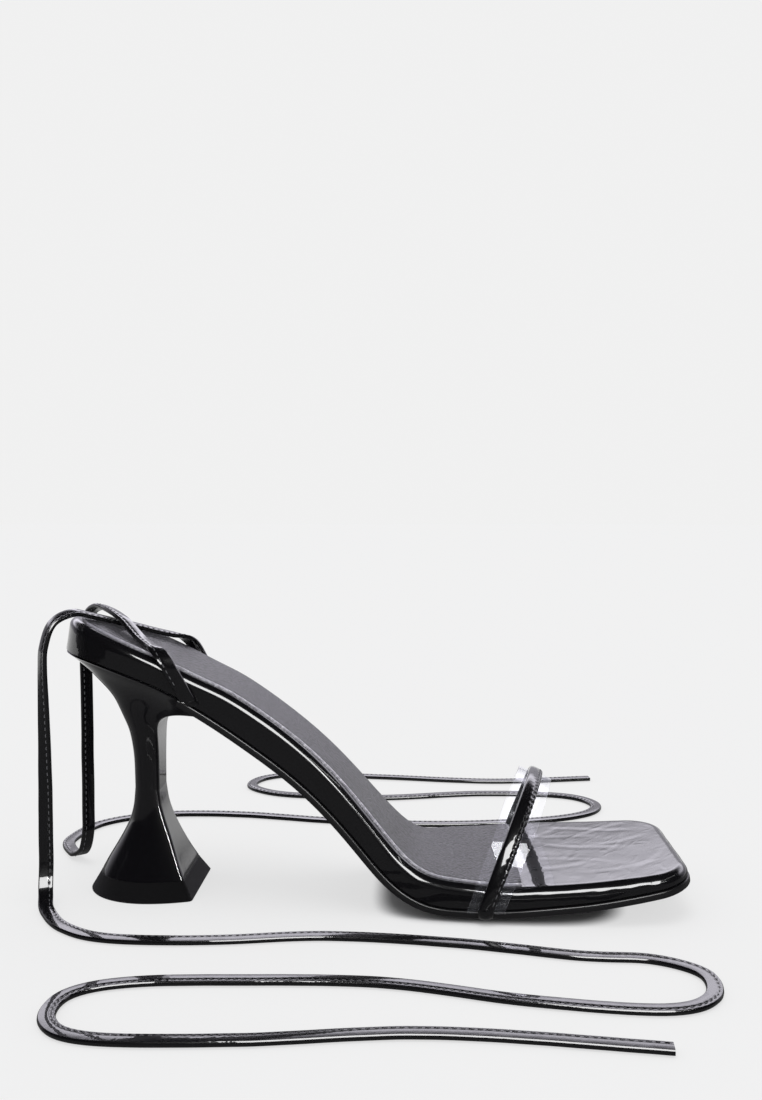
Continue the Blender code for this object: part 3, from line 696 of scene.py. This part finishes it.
def half_widths(x, inset=0.0):
    """Half widths at x of the outline drawn in by inset, with its round seat and toe corners."""
    lateral = LATERAL_BALL * fair(2, x) - inset
    medial = MEDIAL_BALL * fair(3, x) - inset
    seat = SEAT_ROUND - inset
    behind = np.minimum(x - (BACK_X + inset), seat)
    keep = np.sqrt(np.maximum(0.0, 1 - (1 - behind / seat) ** 2))
    corner = TOE_CORNER - inset
    ahead = np.minimum(TOE_X - inset - x, corner)
    cut = corner - np.sqrt(np.maximum(0.0, corner ** 2 - (corner - ahead) ** 2))
    return lateral * keep - cut, medial * keep - cut


def on_sole(x, y, height):
    """Points at height above the seam, square to it, y being counted from the heel's middle."""
    lean = np.arctan(fair(5, x))
    return np.stack([x - height * np.sin(lean), AXIS_Y + y, seam_z(x) + height * np.cos(lean)], -1)


def stations(inset=0.0, start=None, stop=None):
    """Places along the shoe where its outline is read, from the back or start to the toe or stop."""
    seat_end = BACK_X + SEAT_ROUND
    corner_start = TOE_X - TOE_CORNER
    turns = np.linspace(math.radians(1.0), math.pi / 2, SEAT_STEPS, endpoint=False)
    if start is None:
        places = [seat_end - (SEAT_ROUND - inset) * np.cos(turns)]
        begin = seat_end
    else:
        places = []
        begin = start
    last = corner_start if stop is None else stop
    places.append(np.linspace(begin, last, int(RUN_STEPS * (last - begin) / (corner_start - seat_end)) + 1))
    if stop is None:
        turns = np.linspace(0.0, math.pi / 2, CORNER_STEPS + 1)[1:]
        places.append(corner_start + (TOE_CORNER - inset) * np.sin(turns))
    return np.concatenate(places)


def sole_sides(height, inset=0.0, start=None, stop=None):
    """Outer and inner lines of points round the sole at a height above the seam."""
    x = stations(inset, start, stop)
    outer, inner = half_widths(x, inset)
    up = height(x) if callable(height) else np.full_like(x, height)
    return on_sole(x, -outer, up), on_sole(x, inner, up)


def sole_piece(name, levels, paint, node, shaping=None):
    """A closed form through levels of outer and inner lines, with a grid from side to side on top."""
    count = len(levels[0][0])
    shares = np.linspace(0.0, 1.0, CROSS_STEPS + 1)[1:-1, None]
    rings = []
    for lateral, medial in levels:
        front = lateral[-1] + (medial[-1] - lateral[-1]) * shares
        back = medial[0] + (lateral[0] - medial[0]) * shares
        rings.append(np.vstack([lateral, front, medial[::-1], back]))
    around = len(rings[0])
    points = list(np.vstack(rings))
    faces = tube_faces(len(rings), around, caps=False)
    for ring_start, lateral, medial in ((0, *levels[0]), ((len(levels) - 1) * around, *levels[-1])):
        grid = np.zeros((count, CROSS_STEPS + 1), int)
        grid[:, 0] = ring_start + np.arange(count)
        grid[:, -1] = ring_start + count + CROSS_STEPS - 1 + np.arange(count)[::-1]
        grid[-1, 1:-1] = ring_start + count + np.arange(CROSS_STEPS - 1)
        grid[0, 1:-1] = ring_start + 2 * count + 2 * (CROSS_STEPS - 1) - 1 - np.arange(CROSS_STEPS - 1)
        for i in range(1, count - 1):
            grid[i, 1:-1] = len(points) + np.arange(CROSS_STEPS - 1)
            points += list(lateral[i] + (medial[i] - lateral[i]) * shares)
        for i in range(count - 1):
            for j in range(CROSS_STEPS):
                faces.append((grid[i, j], grid[i + 1, j], grid[i + 1, j + 1], grid[i, j + 1]))
    faces = [tuple(int(k) for k in face) for face in faces]
    piece = make_piece(name, points, faces, paint, node)
    if shaping:
        press(piece, shaping)
    return piece


def press(piece, shaping):
    """Move each point along its own normal, by what the shaping says for that place."""
    mesh = piece.data
    place = np.zeros(len(mesh.vertices) * 3)
    mesh.vertices.foreach_get("co", place)
    place = place.reshape(-1, 3)
    normal = np.zeros(len(mesh.vertices) * 3, np.float32)
    mesh.vertex_normals.foreach_get("vector", normal)
    normal = normal.reshape(-1, 3)
    moved = place + normal * shaping(place, normal)[:, None]
    mesh.vertices.foreach_set("co", moved.reshape(-1))
    mesh.update()


def noise_field(place, size, seed=0.0):
    shift = Vector((seed, seed * 1.7, -seed))
    return np.array([noise.noise(Vector(point) / size + shift) for point in place])


def crease_field(place, creases):
    """Soft troughs with a low ridge beside each, from a table of straight creases."""
    depth = np.zeros(len(place))
    for x0, y0, x1, y1, width, deep in creases:
        near = np.array((x0, y0)) / 1000
        far = np.array((x1, y1)) / 1000
        run = far - near
        length = np.linalg.norm(run)
        run = run / length
        offset = place[:, :2] - near
        along = offset @ run
        bend = 0.0012 * np.sin(along / length * 5.0 + x0)
        side = offset @ np.array((-run[1], run[0])) - bend
        taper = smoothstep(along, -0.002, 0.006) * smoothstep(along, length + 0.002, length - 0.008)
        share = side / (width / CREASE_WIDTH_UNIT)
        trough = np.exp(-share ** 2 * 2)
        ridge = 0.6 * np.exp(-(share - 1.3) ** 2 * 1.5)
        depth += deep / CREASE_DEPTH_UNIT * taper * (ridge - trough)
    return depth


def fine_creases(paint):
    """Fine slanting creases in the drawn patent over the toes, added to the film's own waves."""
    tree = paint.node_tree
    shader = tree.nodes["Principled BSDF"]
    place = add_node(tree, "ShaderNodeTexCoord").outputs["Object"]
    turned = add_node(tree, "ShaderNodeMapping", {"vector_type": "TEXTURE"},
                      {"Vector": place, "Rotation": (0.0, 0.0, math.radians(50)),
                       "Scale": (0.0085, 0.0044, 0.0085)}).outputs[0]
    crease = cloud(tree, turned, 1.0, 2.5, 0.45, 1.0, "RIDGED_MULTIFRACTAL")
    normal = add_node(tree, "ShaderNodeNewGeometry").outputs["True Normal"]
    share = maths(tree, "MULTIPLY", ramp(tree, axis(tree, place, "X"), 0.045, 0.065),
                  ramp(tree, axis(tree, normal, "Z"), 0.75, 0.98))
    waves = relief(tree, maths(tree, "MULTIPLY", crease, share), 0.000045,
                   shader.inputs["Normal"].links[0].from_socket)
    set_inputs(shader, {"Normal": waves, "Coat Normal": waves})


def drawn_patent(place, normal):
    """How the wrapped patent departs from its board: a peel, creases in front and gathers on the rim."""
    top = smoothstep(normal[:, 2], 0.80, 0.97)
    front = smoothstep(place[:, 0], 0.048, 0.062)
    rim = smoothstep(normal[:, 2], 0.15, 0.45) * smoothstep(normal[:, 2], 0.98, 0.85)
    field = noise_field(place, 0.005) * PEEL_DEPTH
    creased = noise_field(place, 0.011, 3.1) * FOREFOOT_WAVE + crease_field(place, FOREFOOT_CREASES)
    field += top * front * creased
    field += rim * front * noise_field(place * np.array((1.0, 0.6, 0.6)), 0.0034, 7.3) * RIM_GATHER
    field += rim * (1 - front) * noise_field(place, 0.012, 5.2) * RIM_WAVE
    return field


wrap_patent = patent_film("wrap_patent", 0.0022, 0.000003, 0.010, 0.00003)
fine_creases(wrap_patent)

bed_levels = []
for turn in np.linspace(0.0, math.pi / 2, 4):
    bed_levels.append(sole_sides(BED_FOOT_ROUND * math.sin(turn), BED_FOOT_ROUND * (1 - math.sin(turn))))
for share in np.linspace(0.0, 1.0, WALL_STEPS + 1)[1:]:
    bed_levels.append(sole_sides(lambda x, share=share: BED_FOOT_ROUND
                                 + (bed_thick(x) - RIM_ROUND - BED_FOOT_ROUND) * share))
for turn in np.linspace(0.0, math.pi / 2, RIM_STEPS + 1)[1:]:
    bed_levels.append(sole_sides(lambda x, turn=turn: bed_thick(x) - RIM_ROUND * (1 - math.sin(turn)),
                                 RIM_ROUND * (1 - math.cos(turn))))
footbed = sole_piece("footbed_wrap", bed_levels, wrap_patent, "footbed", drawn_patent)

# Sock: a thin matt lining of grained leather, skived at its edge and glued on the footbed from the
# seat to under the straps. The real one has lettering here; this one is bare.
SOCK_INSET = 0.0042
SOCK_LENGTH = 0.1720
SOCK_PROUD = 0.0010
SOCK_EDGE = 0.0005
SOCK_SUNK = 0.0002


def sock_leather():
    """Matt dark leather with a fine pebbled grain, a faint sheen and a painted highlight: its edge faces on
    both sides are painted paler.
    """
    paint, tree, shader, place = new_paint("sock_leather")
    pebble = add_node(tree, "ShaderNodeTexVoronoi", {"feature": "SMOOTH_F1"},
                      {"Vector": place, "Scale": 900.0, "Smoothness": 0.25}).outputs["Distance"]
    blotch = cloud(tree, place, 130.0, 3.0)
    tone = tint(tree, blotch, (0.060, 0.058, 0.067, 1.0), (0.125, 0.121, 0.139, 1.0))
    grained = add_node(tree, "ShaderNodeVectorMath", {"operation": "SCALE"},
                       {"Vector": tone, "Scale": ramp(tree, pebble, 0.0, 0.7, 1.60, 0.35, "LINEAR")})
    normal = add_node(tree, "ShaderNodeNewGeometry").outputs["True Normal"]
    # Painted highlight: faces turned to either side, round the sock's edge, are painted pale
    painted_edge_highlight = ramp(tree, maths(tree, "ABSOLUTE", axis(tree, normal, "Y")), 0.45, 0.80)
    set_inputs(shader, {"Base Color": tint(tree, painted_edge_highlight, grained.outputs[0], (0.50, 0.485, 0.55, 1.0)),
                        "Roughness": spread(tree, blotch, 0.34, 0.43),
                        "Normal": relief(tree, pebble, 0.00026), "Specular IOR Level": 0.8})
    return paint


sock_stop = BACK_X + SOCK_LENGTH
sock_levels = [
    sole_sides(lambda x: bed_thick(x) - SOCK_SUNK, SOCK_INSET, stop=sock_stop),
    sole_sides(lambda x: bed_thick(x) + SOCK_PROUD - SOCK_EDGE, SOCK_INSET, stop=sock_stop),
]
for turn in np.linspace(0.0, math.pi / 2, 5)[1:]:
    sock_levels.append(sole_sides(
        lambda x, turn=turn: bed_thick(x) + SOCK_PROUD - SOCK_EDGE * (1 - math.sin(turn)),
        SOCK_INSET + SOCK_EDGE * (1 - math.cos(turn)), stop=sock_stop))
sock = sole_piece("sock_lining", sock_levels, sock_leather(), "sock")

# Outsole: a thin sheet of black satin compound, cut a little proud of the wrapped wall, its edge
# trimmed and inked. It runs from inside the heel's front to the toe.
OUTSOLE_LIP = 0.0004
OUTSOLE_BACK = 0.0480
OUTSOLE_EDGE = 0.0006
TREAD_INSET = 0.0050


def satin_sole():
    """Satin black sole with a faint brushed grain."""
    paint, tree, shader, place = new_paint("satin_sole")
    grain = cloud(tree, place, 900.0, 4.0, 0.6)
    set_inputs(shader, {"Base Color": (0.0070, 0.0068, 0.0080, 1.0),
                        "Roughness": spread(tree, grain, 0.24, 0.40),
                        "Normal": relief(tree, grain, 0.00004)})
    return paint


sole_start = BACK_X + OUTSOLE_BACK
tread_levels = []
for share in np.linspace(0.0, 1.0, 5)[:-1]:
    tread_levels.append(sole_sides(
        lambda x, share=share: HEEL_RISE * (fair(4, x) - fair(0, x)) * (1 - share) - SEAM_LOW,
        TREAD_INSET + (OUTSOLE_EDGE - TREAD_INSET) * share, start=sole_start))
edge_levels = []
for side, middle_height in ((-1, -GAP - OUTSOLE_THICK + OUTSOLE_EDGE), (1, -GAP_DRESSED - OUTSOLE_EDGE)):
    for turn in np.linspace(-math.pi / 2, 0.0, 5) if side < 0 else np.linspace(0.0, math.pi / 2, 5):
        edge_levels.append(sole_sides(middle_height + OUTSOLE_EDGE * math.sin(turn),
                                      OUTSOLE_EDGE * (1 - math.cos(turn)) - OUTSOLE_LIP, start=sole_start))
outsole = sole_piece("outsole_sheet", tread_levels + edge_levels, satin_sole(), "outsole")

# Heel: a lacquered block, flared up to the footbed and down to its foot round a narrow waist, with a
# flat breast whose edges are eased by hand before spraying.
BREAST_REACH = 0.0550
WAIST_HEIGHT = 0.0390
WAIST_BACK = 0.0256
WAIST_LENGTH = 0.0104
WAIST_WIDTH = 0.0165
FOOT_BACK = 0.0125
FOOT_LENGTH = 0.0345
FOOT_WIDTH = 0.0345
LIFT_HEIGHT = 0.0067
LIFT_GAP = 0.0001
HEEL_INSET = 0.0002
HEEL_WIDEST = 0.58
WAIST_BREAST = 0.76
FOOT_BREAST = 0.84
HEEL_EDGE = 0.0011
HEEL_TOP_EDGE = 0.0005
HEEL_TOP_SUNK = 0.00015
HEEL_TOP_START = 0.985
HEEL_FOOT_INSETS = (0.0006, 0.0001)
HEEL_LEAST_HALF = 0.0001
UPPER_LEVELS = 90
LOWER_LEVELS = 46
TABLE_EASE = 7

# Columns: share of the way up from the waist to the footbed, then how far the back, the breast and
# the sides have flared from the waist to the footbed's own outline
HEEL_TOP_ROWS = (
    (0.00, 0.000, 0.000, 0.000),
    (0.22, 0.011, 0.000, 0.012),
    (0.35, 0.038, 0.000, 0.045),
    (0.47, 0.085, 0.000, 0.110),
    (0.56, 0.160, 0.010, 0.185),
    (0.64, 0.235, 0.090, 0.270),
    (0.71, 0.310, 0.285, 0.360),
    (0.78, 0.450, 0.590, 0.470),
    (0.84, 0.590, 0.850, 0.590),
    (0.90, 0.720, 1.000, 0.730),
    (0.95, 0.870, 1.000, 0.870),
    (1.00, 1.000, 1.000, 1.000),
)

# Columns: share of the way down from the waist to the lift, then how far the back, the breast and
# the sides have flared from the waist to the heel's foot
HEEL_FOOT_ROWS = (
    (0.00, 0.000, 0.000, 0.000),
    (0.20, 0.045, 0.080, 0.035),
    (0.36, 0.140, 0.210, 0.110),
    (0.53, 0.330, 0.400, 0.250),
    (0.70, 0.570, 0.600, 0.480),
    (0.86, 0.810, 0.800, 0.760),
    (1.00, 1.000, 1.000, 1.000),
)

heel_grid = np.linspace(0.0, 1.0, 241)
heel_columns = {}
for table_name, table in (("top", HEEL_TOP_ROWS), ("foot", HEEL_FOOT_ROWS)):
    heel_columns[table_name] = [eased(smooth_column(table, k)(heel_grid)[:, None], TABLE_EASE)[:, 0]
                                for k in (1, 2, 3)]

# Where a level of the heel is read, as shares of its length: closer together at the back and the breast
back_turns = np.linspace(0.0, math.pi / 2, 40, endpoint=False)
heel_shares = np.concatenate([0.002 + 0.898 * (1 - np.cos(back_turns)) ** 1.15,
                              1 - 0.1 * (1 - np.linspace(0.0, 1.0, 18)) ** 2])


def heel_profile(breast):
    """Half widths of a D shaped level of the heel, as shares of its widest."""
    behind = np.sqrt(np.maximum(0.0, 1 - ((HEEL_WIDEST - heel_shares) / HEEL_WIDEST) ** 2))
    ahead = 1 - (1 - breast) * ((heel_shares - HEEL_WIDEST) / (1 - HEEL_WIDEST)) ** 2
    return np.where(heel_shares < HEEL_WIDEST, behind, ahead)


def heel_loop(x, outer, inner, height):
    """Closed loop of a level of the heel, its breast edges rounded."""
    ahead = np.minimum(x[-1] - x, HEEL_EDGE)
    off = HEEL_EDGE - np.sqrt(HEEL_EDGE ** 2 - (HEEL_EDGE - ahead) ** 2)
    lateral = np.stack([x, AXIS_Y - outer + off, height], 1)
    medial = np.stack([x, AXIS_Y + inner - off, height], 1)
    shares = np.linspace(0.0, 1.0, 13)[1:-1, None]
    return np.vstack([lateral, lateral[-1] + (medial[-1] - lateral[-1]) * shares, medial[::-1]])


def upper_level(up, drawn=0.0, sunk=0.0):
    """A level of the upper heel; drawn takes it in all round and sunk lowers it."""
    back_share, breast_share, side_share = [np.interp(up, heel_grid, c) for c in heel_columns["top"]]
    waist_back = BACK_X + WAIST_BACK
    waist_front = waist_back + WAIST_LENGTH
    back = waist_back + (BACK_X + HEEL_INSET - waist_back) * back_share + drawn
    front = waist_front + (BACK_X + BREAST_REACH - waist_front) * breast_share
    x = back + (front - back) * heel_shares
    outer, inner = half_widths(BACK_X + HEEL_INSET + (BREAST_REACH - HEEL_INSET) * heel_shares, HEEL_INSET)
    waist = WAIST_WIDTH / 2 * heel_profile(WAIST_BREAST)
    outer = waist + (outer - waist) * side_share - drawn
    inner = waist + (inner - waist) * side_share - drawn
    height = WAIST_HEIGHT + (seam_z(x) - WAIST_HEIGHT) * up - sunk
    return heel_loop(x, np.maximum(outer, HEEL_LEAST_HALF), np.maximum(inner, HEEL_LEAST_HALF), height)


def lower_level(down, spread=0.0, height=None):
    """A level of the lower heel; spread widens it all round."""
    back_share, breast_share, side_share = [np.interp(down, heel_grid, c) for c in heel_columns["foot"]]
    waist_back = BACK_X + WAIST_BACK
    foot_back = BACK_X + FOOT_BACK
    back = waist_back + (foot_back - waist_back) * back_share - spread
    front = waist_back + WAIST_LENGTH
    front += (foot_back + FOOT_LENGTH - front) * breast_share + spread
    half = (WAIST_WIDTH + (FOOT_WIDTH - WAIST_WIDTH) * side_share) / 2 + spread
    wide = half * heel_profile(WAIST_BREAST + (FOOT_BREAST - WAIST_BREAST) * side_share)
    x = back + (front - back) * heel_shares
    if height is None:
        height = WAIST_HEIGHT + (LIFT_HEIGHT + LIFT_GAP - WAIST_HEIGHT) * down
    return heel_loop(x, wide, wide, np.full_like(x, height))


def black_lacquer():
    """Sprayed black gloss with a faint orange peel."""
    paint, tree, shader, place = new_paint("heel_lacquer")
    peel = relief(tree, cloud(tree, place, 420.0, 1.0), 0.000012)
    set_inputs(shader, {"Base Color": (0.0050, 0.0046, 0.0062, 1.0), "Specular IOR Level": 0.15,
                        "Roughness": 0.30, "Coat Normal": peel, "Coat Weight": 1.0,
                        "Coat Roughness": 0.05})
    return paint


heel_levels = [lower_level(1.0, -inset) for inset in HEEL_FOOT_INSETS]
heel_levels += [lower_level(down) for down in np.linspace(1.0, 0.0, LOWER_LEVELS, endpoint=False)[1:]]
heel_levels += [upper_level(up) for up in np.linspace(0.0, HEEL_TOP_START, UPPER_LEVELS)]
for turn in np.linspace(0.0, math.pi / 2, 5)[1:]:
    heel_levels.append(upper_level(1.0, HEEL_TOP_EDGE * (1 - math.cos(turn)),
                                   HEEL_TOP_SUNK + HEEL_TOP_EDGE * (1 - math.sin(turn))))
heel = ring_piece("heel_block", heel_levels, black_lacquer(), "heel")

# Top piece: a matt rubber lift nailed under the heel, flared out to the floor, its edge trimmed.
LIFT_FLARE = 0.0038
LIFT_EDGE = 0.0004


def matt_rubber():
    """Dull black rubber with a fine moulded grain."""
    paint, tree, shader, place = new_paint("top_piece_rubber")
    grain = cloud(tree, place, 2600.0, 3.0, 0.6)
    set_inputs(shader, {"Base Color": (0.0100, 0.0096, 0.0108, 1.0), "Specular IOR Level": 0.3,
                        "Roughness": 0.62, "Normal": relief(tree, grain, 0.00005)})
    return paint


lift_levels = []
for turn in np.linspace(math.pi / 2, 0.0, 4):
    lift_levels.append(lower_level(1.0, LIFT_FLARE - LIFT_EDGE * (1 - math.cos(turn)),
                                   LIFT_EDGE * (1 - math.sin(turn))))
for turn in np.linspace(0.0, math.pi / 2, 4):
    lift_spread = LIFT_FLARE * LIFT_EDGE / LIFT_HEIGHT - LIFT_EDGE * (1 - math.cos(turn))
    lift_levels.append(lower_level(1.0, lift_spread, LIFT_HEIGHT - LIFT_EDGE * (1 - math.sin(turn))))
ring_piece("top_piece_lift", lift_levels, matt_rubber(), "top_piece")

# Clear band: a strip of clear vinyl cut with clean edges, bent over the ball of the foot, its ends
# tucked into the foot of the wall.
CLEAR_WIDTH = 0.0132
CLEAR_THICK = 0.0009
CLEAR_EDGE = 0.00018
STRAP_THICK = 0.0019
STRAP_LATERAL = 0.1585
STRAP_MEDIAL = 0.1720
STRAP_DROP = 0.0036
STRAP_RISE = 0.0316 + STRAP_DROP
STRAP_LEAN = 0.375
STRAP_EASE = 0.0007
STRAP_SQUARENESS = 2.35
UPRIGHT_SHARE = 0.6
TUCK_ROUND = 0.0010
TUCK_LENGTH = 0.0035
STRAP_STEP = 0.0004
VINYL_HAZE = 0.012
VINYL_EDGE = 0.55
CUT_SIDES = (3, 11)


def strap_base(x, side):
    """Where a strap meets the wall at x: side -1 is the outer wall and +1 the inner one."""
    step = SHOE_LENGTH / 500
    wide = half_widths(np.array([x - step, x, x + step]))[0 if side < 0 else 1]
    slope = side * (wide[2] - wide[0]) / (2 * step)
    return np.array([x, AXIS_Y + side * wide[1], seam_z(x)]), unit(np.array([1.0, slope, fair(5, x)]))


def strap_line():
    """Points of the straps' inner face with the way across the strap, from tuck to tuck."""
    lateral, lateral_across = strap_base(BACK_X + STRAP_LATERAL, -1)
    medial, medial_across = strap_base(BACK_X + STRAP_MEDIAL, 1)
    lateral[1] -= STRAP_EASE
    medial[1] += STRAP_EASE
    base_lift = CLEAR_THICK + STRAP_THICK + 2 * GAP + TUCK_ROUND - STRAP_DROP
    chord = unit(medial - lateral)
    crown_across = unit(np.cross(chord, unit(np.array([STRAP_LEAN, 0.0, 1.0]))))
    turn = np.linspace(0.0, math.pi, 401)
    power = 2 / STRAP_SQUARENESS
    sweep = np.sign(np.cos(turn)) * np.abs(np.cos(turn)) ** power
    rise = STRAP_RISE * np.abs(np.sin(turn)) ** power
    share = (1 - sweep) / 2
    points = lateral + (medial - lateral) * share[:, None]
    points += np.stack([STRAP_LEAN * rise, 0 * rise, base_lift + rise], 1)
    blend = smoothstep(rise / (UPRIGHT_SHARE * STRAP_RISE), 0.0, 1.0)[:, None]
    base_across = np.where(share[:, None] < 0.5, lateral_across, medial_across)
    across = base_across + (crown_across - base_across) * blend
    sides = []
    for start, lean, toward in ((points[0], lateral_across, 1), (points[-1], medial_across, -1)):
        inner = unit(np.array([-lean[1] * toward, lean[0] * toward, 0.0]))
        bend = np.linspace(0.0, math.pi / 2, 9)[1:, None]
        line = start + inner * TUCK_ROUND * (1 - np.cos(bend))
        line = line - np.array([0.0, 0.0, 1.0]) * TUCK_ROUND * np.sin(bend)
        line = np.vstack([line, line[-1] + inner * TUCK_LENGTH])
        sides.append((line, np.repeat(lean[None], len(line), 0)))
    points = np.vstack([sides[0][0][::-1], points, sides[1][0]])
    across = np.vstack([sides[0][1][::-1], across, sides[1][1]])
    run = run_along(points)
    places = np.linspace(0.0, run[-1], int(run[-1] / STRAP_STEP) + 1)
    points = at_places(places, run, points)
    across = unit(eased(at_places(places, run, across), 4))
    out = unit(np.cross(np.gradient(points, axis=0), across))
    if out[len(out) // 2][2] < 0:
        out = -out
    return places, points, across, out


def clear_vinyl():
    """Clear soft vinyl: a mirror at grazing angles, with painted light that lets more through than falls on
    it so it reads whiter, and milky cut edges painted pale as a highlight.
    """
    paint, tree, shader, place = new_paint("clear_vinyl")
    waves = relief(tree, cloud(tree, place, 110.0, 1.0), 0.000001)
    gleam = add_node(tree, "ShaderNodeBsdfGlossy", None,
                     {"Color": (0.95, 0.96, 1.0, 1.0), "Roughness": 0.03, "Normal": waves})
    # Painted light: the clear film passes more light than falls on it
    clear = add_node(tree, "ShaderNodeBsdfTransparent", None, {"Color": (1.09, 1.09, 1.10, 1.0)})
    haze = add_node(tree, "ShaderNodeBsdfDiffuse", None, {"Color": (0.80, 0.82, 0.90, 1.0)})
    # Painted highlight, partly real: the cut edges are milky and are painted near white for the light
    # caught in them
    milky_edge_highlight = add_node(tree, "ShaderNodeBsdfDiffuse", None, {"Color": (0.97, 0.97, 1.0, 1.0)})
    graze = add_node(tree, "ShaderNodeFresnel", None, {"IOR": 1.5, "Normal": waves})
    inside = add_node(tree, "ShaderNodeNewGeometry").outputs["Backfacing"]
    graze = maths(tree, "MULTIPLY", graze.outputs[0], maths(tree, "SUBTRACT", 1.0, inside))
    cut = add_node(tree, "ShaderNodeAttribute", {"attribute_name": "cut_edge"}).outputs["Fac"]
    body = blend(tree, VINYL_HAZE, clear.outputs[0], haze.outputs[0])
    body = blend(tree, graze, body, gleam.outputs[0])
    edge = maths(tree, "MULTIPLY", cut, VINYL_EDGE)
    show_instead(tree, shader, blend(tree, edge, body, milky_edge_highlight.outputs[0]))
    return paint


strap_places, strap_points, strap_across, strap_out = strap_line()
band_section = []
for corner, side in enumerate((1, 1, -1, -1)):
    middle = CLEAR_THICK - CLEAR_EDGE if corner in (1, 2) else CLEAR_EDGE
    for turn in np.radians(np.linspace(90 * corner - 90, 90 * corner, 4)):
        band_section.append((side * (CLEAR_WIDTH / 2 - CLEAR_EDGE) + CLEAR_EDGE * math.cos(turn),
                             middle + CLEAR_EDGE * math.sin(turn)))
band_rings = np.stack([strap_points + strap_across * wide + strap_out * deep
                       for wide, deep in band_section], 1)
clear_band = ring_piece("clear_band", band_rings, clear_vinyl(), "strap_clear")
cut_edge = clear_band.data.attributes.new("cut_edge", "FLOAT", "FACE")
cut_edge.data.foreach_set("value", [
    float(len(face.vertices) == 4 and face.index % len(band_section) in CUT_SIDES)
    for face in clear_band.data.polygons])

# Patent strap: a narrow strap of the same patent, turned over a thin pad and stitched along its front
# edge, where the thread draws it into small puckers. It lies along the middle of the clear band.
STRAP_WIDTH = 0.0056
STRAP_PUCKER = 0.00022
STRAP_PITCH = 0.0027
STRAP_STITCH_PLACE = 0.60
STRAP_STITCH_HEIGHT = 0.82

# Section of the padded strap, columns: share of its half width, share of its thickness, and how far
# the point goes in with the stitches
PADDED_SECTION = (
    (-0.92, 0.00, 0.0), (-1.00, 0.14, 0.0), (-1.00, 0.38, 0.0), (-0.94, 0.64, 0.0), (-0.80, 0.84, 0.0),
    (-0.52, 0.96, 0.0), (-0.15, 1.00, 0.0), (0.20, 0.98, 0.1), (0.44, 0.92, 0.4), (0.60, 0.82, 1.0),
    (0.74, 0.82, 0.9), (0.88, 0.72, 1.0), (0.97, 0.52, 1.1), (1.00, 0.30, 1.0), (1.00, 0.12, 0.8),
    (0.92, 0.00, 0.5),
)

strap_patent = patent_film("strap_patent", 0.0018, 0.000006, 0.008, 0.00006)
strap_base_line = strap_points + strap_out * (CLEAR_THICK + GAP_DRESSED)
pucker = 0.5 - 0.5 * np.cos(2 * math.pi * strap_places / STRAP_PITCH)
rings = []
for wide, thick, drawn in PADDED_SECTION:
    inward = drawn * STRAP_PUCKER * pucker
    rings.append(strap_base_line + strap_across * (STRAP_WIDTH / 2 * wide - inward)[:, None]
                 + strap_out * (STRAP_THICK * thick - inward)[:, None])
padded_strap = ring_piece("padded_strap", np.stack(rings, 1), strap_patent, "strap_patent")
row_line = strap_base_line + strap_across * (STRAP_WIDTH / 2 * STRAP_STITCH_PLACE)
row_line = row_line + strap_out * (STRAP_THICK * STRAP_STITCH_HEIGHT - STRAP_PUCKER * 0.5)
skip = int((TUCK_LENGTH + TUCK_ROUND) / STRAP_STEP)
row_points, row_faces = stitch_row(row_line, strap_across, strap_out, strap_places, STRAP_PITCH,
                                   slice(skip, -skip))
make_piece("padded_strap_stitches", row_points, row_faces, tie_thread)

# Lamps and their pieces: the front lamps are kept off the heel, whose lower flare would throw them back
# as spots, and the strip lights off the clear band. The heel has a strip of its own.
lamp_pieces = {
    "toe_softbox": (*ties, footbed, sock, outsole, clear_band, padded_strap),
    "upper_line": (*ties, footbed, sock, padded_strap),
    "lower_line": (*ties, footbed, sock, padded_strap),
    "heel_line": (heel,),
}
for lamp_name, pieces in lamp_pieces.items():
    lit = bpy.data.collections.new("lit_by_" + lamp_name)
    for piece in pieces:
        lit.objects.link(piece)
    bpy.data.objects[lamp_name].light_linking.receiver_collection = lit
